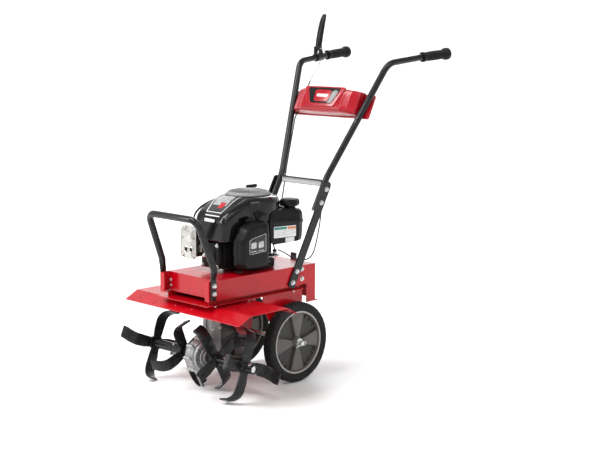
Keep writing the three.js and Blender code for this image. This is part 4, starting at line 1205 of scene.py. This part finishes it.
make("fuel_tank_fine", tank(), PLASTIC, replaces=("fuel_tank",), angle=48)
neck = Form().lathe([(17.2, 640), (24, 640), (24, 650), (22, 652), (21.8, 657.6), (17.2, 657.6),
    (17.2, 640)], centre=FILLER_NECK, steps=48)
make("fuel_tank_neck", neck, PLASTIC, angle=34)
for name, corners, radius, low, high, ease, look in (
        ("tank_blank_label", [(252, 552), (366, 548), (366, 590), (252, 594)], 2.5, 121.0, 125.6, 0.2,
         LABEL_PALE),
        ("tank_label_band", [(253, 582), (318, 580), (318, 589), (253, 592)], 1.5, 125.0, 126.0, 0.1,
         LABEL_TEAL),
        ("tank_label_warm_band", [(322, 580), (365, 578), (365, 586), (322, 589)], 1.5, 125.0, 126.0, 0.1,
         LABEL_ORANGE),
        ("tank_lower_label", [(314, 530), (360, 527), (360, 546), (314, 547)], 2, 119.6, 122.6, 0.2,
         LABEL_PALE)):
    make(name, Form().slab(corners, radius, low, high, axis="x", ease=ease), look)
strokes = Form()
for j, z in enumerate((576, 570, 564, 558)):
    strokes.box(125.5, 125.9, 258, 360 - 9 * (j % 2), z - 0.7, z + 0.7)
make("tank_label_bars", strokes, LABEL_SILVER)


def lobed(levels, lobes, steps, centre=(0, 0)):
    """Stacked rings of (height, radius, depth of the lobes)."""
    rings = []
    for z, base, wave in levels:
        rings.append([((base + wave * cos(lobes * a)) * cos(a) + centre[0],
            (base + wave * cos(lobes * a)) * sin(a) + centre[1], z) for a in circle(steps)])
    return Form().loft(rings)


def fuel_cap():
    levels = ((658.4, 32, 1.2), (660, 34.4, 2.0), (662, 35.4, 2.8), (668, 35.8, 3.6), (675, 35.4, 3.6),
        (680, 34, 3.2), (683.6, 31, 2.2), (685.6, 25, 1.0), (686, 16, 0.2), (685, 9, 0), (685, 0.2, 0))
    return lobed(levels, 6, 108, FILLER_NECK).lathe(rod(15, 640, 659), centre=FILLER_NECK, steps=40)


make("fuel_cap_fine", fuel_cap(), PLASTIC, "fuel_filler_cap", replaces=("fuel_cap",), angle=34)


# ---- air filter
COVER = [(72, 470), (72, 562), (96, 606), (148, 626), (204, 624), (213, 600), (213, 462), (200, 451),
    (90, 451)]


COVER_RADII = [22, 34, 34, 30, 16, 14, 14, 12, 20]
COVER_MIDDLE = Vector((146, 536))
# Each level: distance from the middle of the machine and size of the outline there.
COVER_OUTSIDE = ((112.4, 0.985), (113.4, 1.0), (119, 1.0), (120.4, 0.985), (121.6, 0.972), (128, 0.966),
    (136, 0.95), (142, 0.925), (146, 0.885), (148.6, 0.82), (149.6, 0.74), (149.8, 0.6), (149.8, 0.3))
COVER_INSIDE = ((112.4, 0.985), (112.4, 0.955), (120, 0.94), (140, 0.86), (144, 0.7), (144, 0.3))


def cover():
    """A shell with an outer and an inner wall that meet at its rim."""
    outline = smooth_outline(COVER, COVER_RADII, steps=6)
    form = Form()
    for levels in (COVER_OUTSIDE, COVER_INSIDE):
        form.loft([[(x, *(COVER_MIDDLE + (Vector(p) - COVER_MIDDLE) * grow)) for p in outline] for x,
            grow in levels], cap=False)
        last = len(form.verts) - len(outline)
        form.faces.append(tuple(range(last, last + len(outline))))
    return form


make("air_cleaner_cover", cover(), PLASTIC, "filter_cover", replaces=("air_filter_cover",), angle=44,
    weld=1e-6)
frame_outline = smooth_outline([(107, 511), (107, 562), (128, 569), (187, 580), (187, 516)], 3, steps=4)
ring_line = [Vector((149.7, y, z)) for y, z in frame_outline]
make("air_cleaner_panel_line", Form().tube(ring_line + ring_line[:2], 1.2, sides=8), LABEL_SILVER,
    "filter_cover", angle=60)
plate = Form().prism(frame_outline, 149.2, 150.1, axis="x", ease=0.2)
make("air_cleaner_panel", plate, LABEL_DARK, "filter_cover")
blank = Form()
for y0, y1 in ((114, 140), (150, 176)):
    blank.slab([(y0, 530), (y0, 552), (y1, 556), (y1, 532)], 5, 149.8, 150.35, axis="x", ease=0.15)
    blank.box(149.8, 150.3, y0, y1, 519, 522)
make("air_cleaner_blank_marks", blank, LABEL_SILVER, "filter_cover")
latch = Form()
latch.slab([(122, 622), (126, 634), (160, 640), (166, 630)], 3, 104, 116, axis="x", ease=1.5)
latch.slab([(74, 448), (80, 441), (96, 441), (100, 450)], 2, 104, 118, axis="x", ease=1.2)
make("air_cleaner_latches", latch, PLASTIC, angle=34)
refined("air_filter_housing", PLASTIC, bevel=1.6, segments=3)
pleats = Form()
for k in range(22):
    y = 101 + 4 * k
    pleats.loft([[Vector((114, y, z)), Vector((135.5, y + 1.8, z)), Vector((114, y + 3.6, z))]
        for z in (486, 580)])
pleats.box(112.5, 114.6, 100, 188, 482, 584)
for z0, z1 in ((482, 487), (579, 584)):
    pleats.box(112.5, 136.8, 100, 188, z0, z1)
make("filter_pleats", pleats, PAPER, "filter_cover", replaces=("air_filter_element",), angle=34)


# ---- muffler
refined("muffler", EXHAUST, bevel=1.5, segments=3)
MOUTHS = (-111, -82)


def muffler_guard():
    """A stamped plate with louvres, two ringed mouths and the straps that hold it."""
    form = Form()
    outline = smooth_outline([(478, -132), (478, -64), (486, -56), (592, -56), (600, -66), (600, -118),
        (584, -140), (490, -140)], [8, 8, 8, 10, 12, 20, 20, 10], steps=5)
    form.prism(outline, 26, 28, axis="y", ease=0.6)
    rim = [Vector((x, 26.2, z)) for z, x in outline]
    form.tube(rim + rim[:2], 1.6, sides=8)
    for k in range(9):
        z = 494 + 11 * k
        form.slab([(z, -137), (z, -119 - 4 * (k % 2)), (z + 3.4, -119 - 4 * (k % 2)), (z + 3.4, -137)], 1.4,
            24.4, 27, axis="y", ease=0.7)
    form.slab([(540, -108), (540, -68), (588, -72), (588, -104)], 8, 24.2, 27, axis="y", ease=1.2)
    form.slab([(548, -102), (548, -74), (580, -77), (580, -99)], 6, 23.0, 25, axis="y", ease=0.9)
    r = 11
    for x in MOUTHS:
        form.lathe([(r - 3.4, 0), (r, 0), (r + 1.6, 1), (r, 2.6), (r - 2, 3), (r - 3.4, 1.6), (r - 3.4, 0)],
            centre=(x, 26.8, 510), axis=(0, -1, 0), steps=36)
    form.box(-141.4, -139.8, 26.5, 99.5, 491, 585)
    form.box(-117, -67, 26.5, 39.6, 598.7, 600.2)
    return form


make("muffler_guard_fine", muffler_guard(), EXHAUST, replaces=("muffler_guard",), angle=34)
# Black discs laid on the solid guard inside each ring: painted shade for the open mouths.
mouths = Form()
for x in MOUTHS:
    mouths.lathe(rod(7.6, 0, 0.6), centre=(x, 25.8, 510), axis=(0, -1, 0), steps=30)
make("muffler_mouth_painted_shade", mouths, CAST_BLACK)


# ---- block and engine dressing
BLOCK_BOLTS = [(88 * cos(a), ENGINE_Y + 88 * sin(a)) for a in circle(10, 0.31)]


def block():
    """The crankcase: a round casting with a bolted rim, upright ribs, a cylinder foot and a side pad."""
    form = Form()
    form.lathe([(11.5, 434.4), (93, 434.4), (95, 436), (95, 449), (93.5, 451), (85, 452.5), (84, 455),
        (84, 500), (82, 503), (82, 548), (79, 552), (11.5, 552), (11.5, 434.4)], centre=ENGINE_AT, steps=88)
    for x, y in BLOCK_BOLTS:
        form.lathe([(0.1, 440), (7.5, 440), (7.5, 456), (6.5, 457.5), (0.1, 457.5)], centre=(x, y, 0),
            steps=24)
    rib = Form().box(82, 87, -1.5, 1.5, 460, 545)
    for a in circle(18):
        beside_cylinder = -2.3 < a - 2 * pi * (a > pi) < -0.9
        if not beside_cylinder:
            form.join(rib, a, "Z", ENGINE_AT)
    form.slab([(-52, 150.2), (52, 150.2), (52, 200), (-52, 200)], 4, 446, 548, axis="z", ease=1.5)
    form.slab([(70, 230), (88, 230), (88, 290), (70, 290)], 3, 440, 469.7, axis="z", ease=1.2)
    return form


make("engine_crankcase", block(), CAST_BLACK, replaces=("crankcase",), angle=34)


def cylinder():
    form = Form()
    form.slab([(-40, 62), (40, 62), (40, 149.7), (-40, 149.7)], 6, 458, 536, axis="z", ease=1.5)
    form.slab([(-48, 46), (48, 46), (48, 66), (-48, 66)], 4, 452, 544, axis="z", ease=2)
    fin = smooth_outline([(449, -54), (449, 54), (547, 54), (547, -54)], 12)
    for k in range(10):
        y = 71 + 7.6 * k
        form.prism(fin, y, y + 2.6, axis="y", ease=0.8)
    form.slab([(466, -38), (466, 30), (530, 30), (530, -38)], 10, 41.5, 48, axis="y", ease=1.6)
    return form


make("engine_cylinder", cylinder(), CAST_BLACK, replaces=("cylinder_block",), angle=34)
bolts = Form()
for x, z in ((-40, 458), (40, 458), (-40, 538), (40, 538)):
    fastener(bolts, (x, 46, z), (0, -1, 0), size=9)
for x, y in BLOCK_BOLTS:
    fastener(bolts, (x, y, 457.5), (0, 0, 1), size=7.5)
for x, z in ((-66, 585), (-130, 486), (-66, 486)):
    fastener(bolts, (x, 26, z), (0, -1, 0), size=7)
make("engine_bolts", bolts, ZINC, angle=30)

controls = Form()
controls.slab([(90, 222), (124, 222), (124, 283), (90, 283)], 5, 484, 487, axis="z", ease=0.8)
controls.lathe([(0.1, 487), (7, 487), (7, 491), (5, 492), (5, 500), (8, 501), (8, 507), (6.5, 509),
    (0.1, 509)], centre=(118, 262, 0), steps=32)
controls.slab([(484, 100), (484, 108), (514, 106), (514, 101)], 2, 244, 250, axis="y", ease=0.8)
controls.slab([(488, 112), (488, 120), (468, 122), (468, 110)], 2, 232, 246, axis="y", ease=0.8)
make("engine_control_levers", controls, CAST_BLACK, angle=34)
spring = [Vector((108 + 3 * cos(a), 228 + a * 0.9, 496 + 3 * sin(a)))
    for a in (2 * pi * k / 14 for k in range(14 * 8))]
make("governor_spring", Form().tube(spring, 0.55, sides=6), ZINC, angle=60)

filler = Matrix.Translation((-92, 262, 470)) @ Matrix.Rotation(-pi / 4, 4, "Y")
tube = Form().lathe([(7.2, 0), (11, 0), (11, 26), (12.4, 27), (12.4, 33.4), (7.2, 34), (7.2, 0)], steps=36)
make("oil_filler_fine", tube.turned(filler), PLASTIC, replaces=("oil_filler_tube",), angle=34)
cap = lobed(((34.6, 15.2, 0.3), (36, 16.2, 0.8), (44, 16.2, 0.8), (45.8, 15, 0.4), (46.2, 8, 0),
    (47, 6.4, 0), (55, 6, 0), (56, 4.5, 0), (56, 0.2, 0)), 16, 96)
cap.lathe(rod(2.6, -6, 35), steps=20)
make("oil_cap_fine", cap.turned(filler), PLASTIC, "oil_dipstick_cap", replaces=("oil_cap",), angle=34)

GRIP_WAIST = ((296, 3.5), (297.5, 5.6), (302, 7), (310, 6.8), (322, 6.3), (334, 6.8), (342, 7),
    (346.5, 5.6), (348, 3.5))
grip = Form().loft([[Vector((-72, y, 724)) + Vector((w * cos(a), 0, w * sin(a))) for a in circle(28)] for y,
    w in GRIP_WAIST])
grip.lathe([(0.1, 708.7), (4.4, 708.7), (5.8, 711), (5.8, 720), (0.1, 720)], centre=(-72, 316, 0), steps=28)
make("recoil_grip", grip, RUBBER, "recoil_handle", replaces=("starter_grip",), angle=40)

# ---- CAD nodes that keep their own shape
KEPT = {"wheel_axle": ZINC, "lever_pin": ZINC, "crankshaft": ZINC, "worm_shaft": ZINC, "tine_shaft": ZINC,
    "engine_pulley": ZINC, "driven_pulley": ZINC, "idler_pulley": ZINC, "idler_arm": ZINC,
    "idler_spring": ZINC, "spark_plug": ZINC, "carburettor": ALLOY, "flywheel": IRON, "worm_wheel": BRONZE,
    "drive_belt": CABLE,}
for name, look in KEPT.items():
    mesh_object = NODES[name]
    if not mesh_object.material_slots:
        mesh_object.data.materials.append(look)
    for holder in mesh_object.material_slots:
        holder.material = look
    ease_edges(mesh_object, 0.5, 2, 35, harden=False)
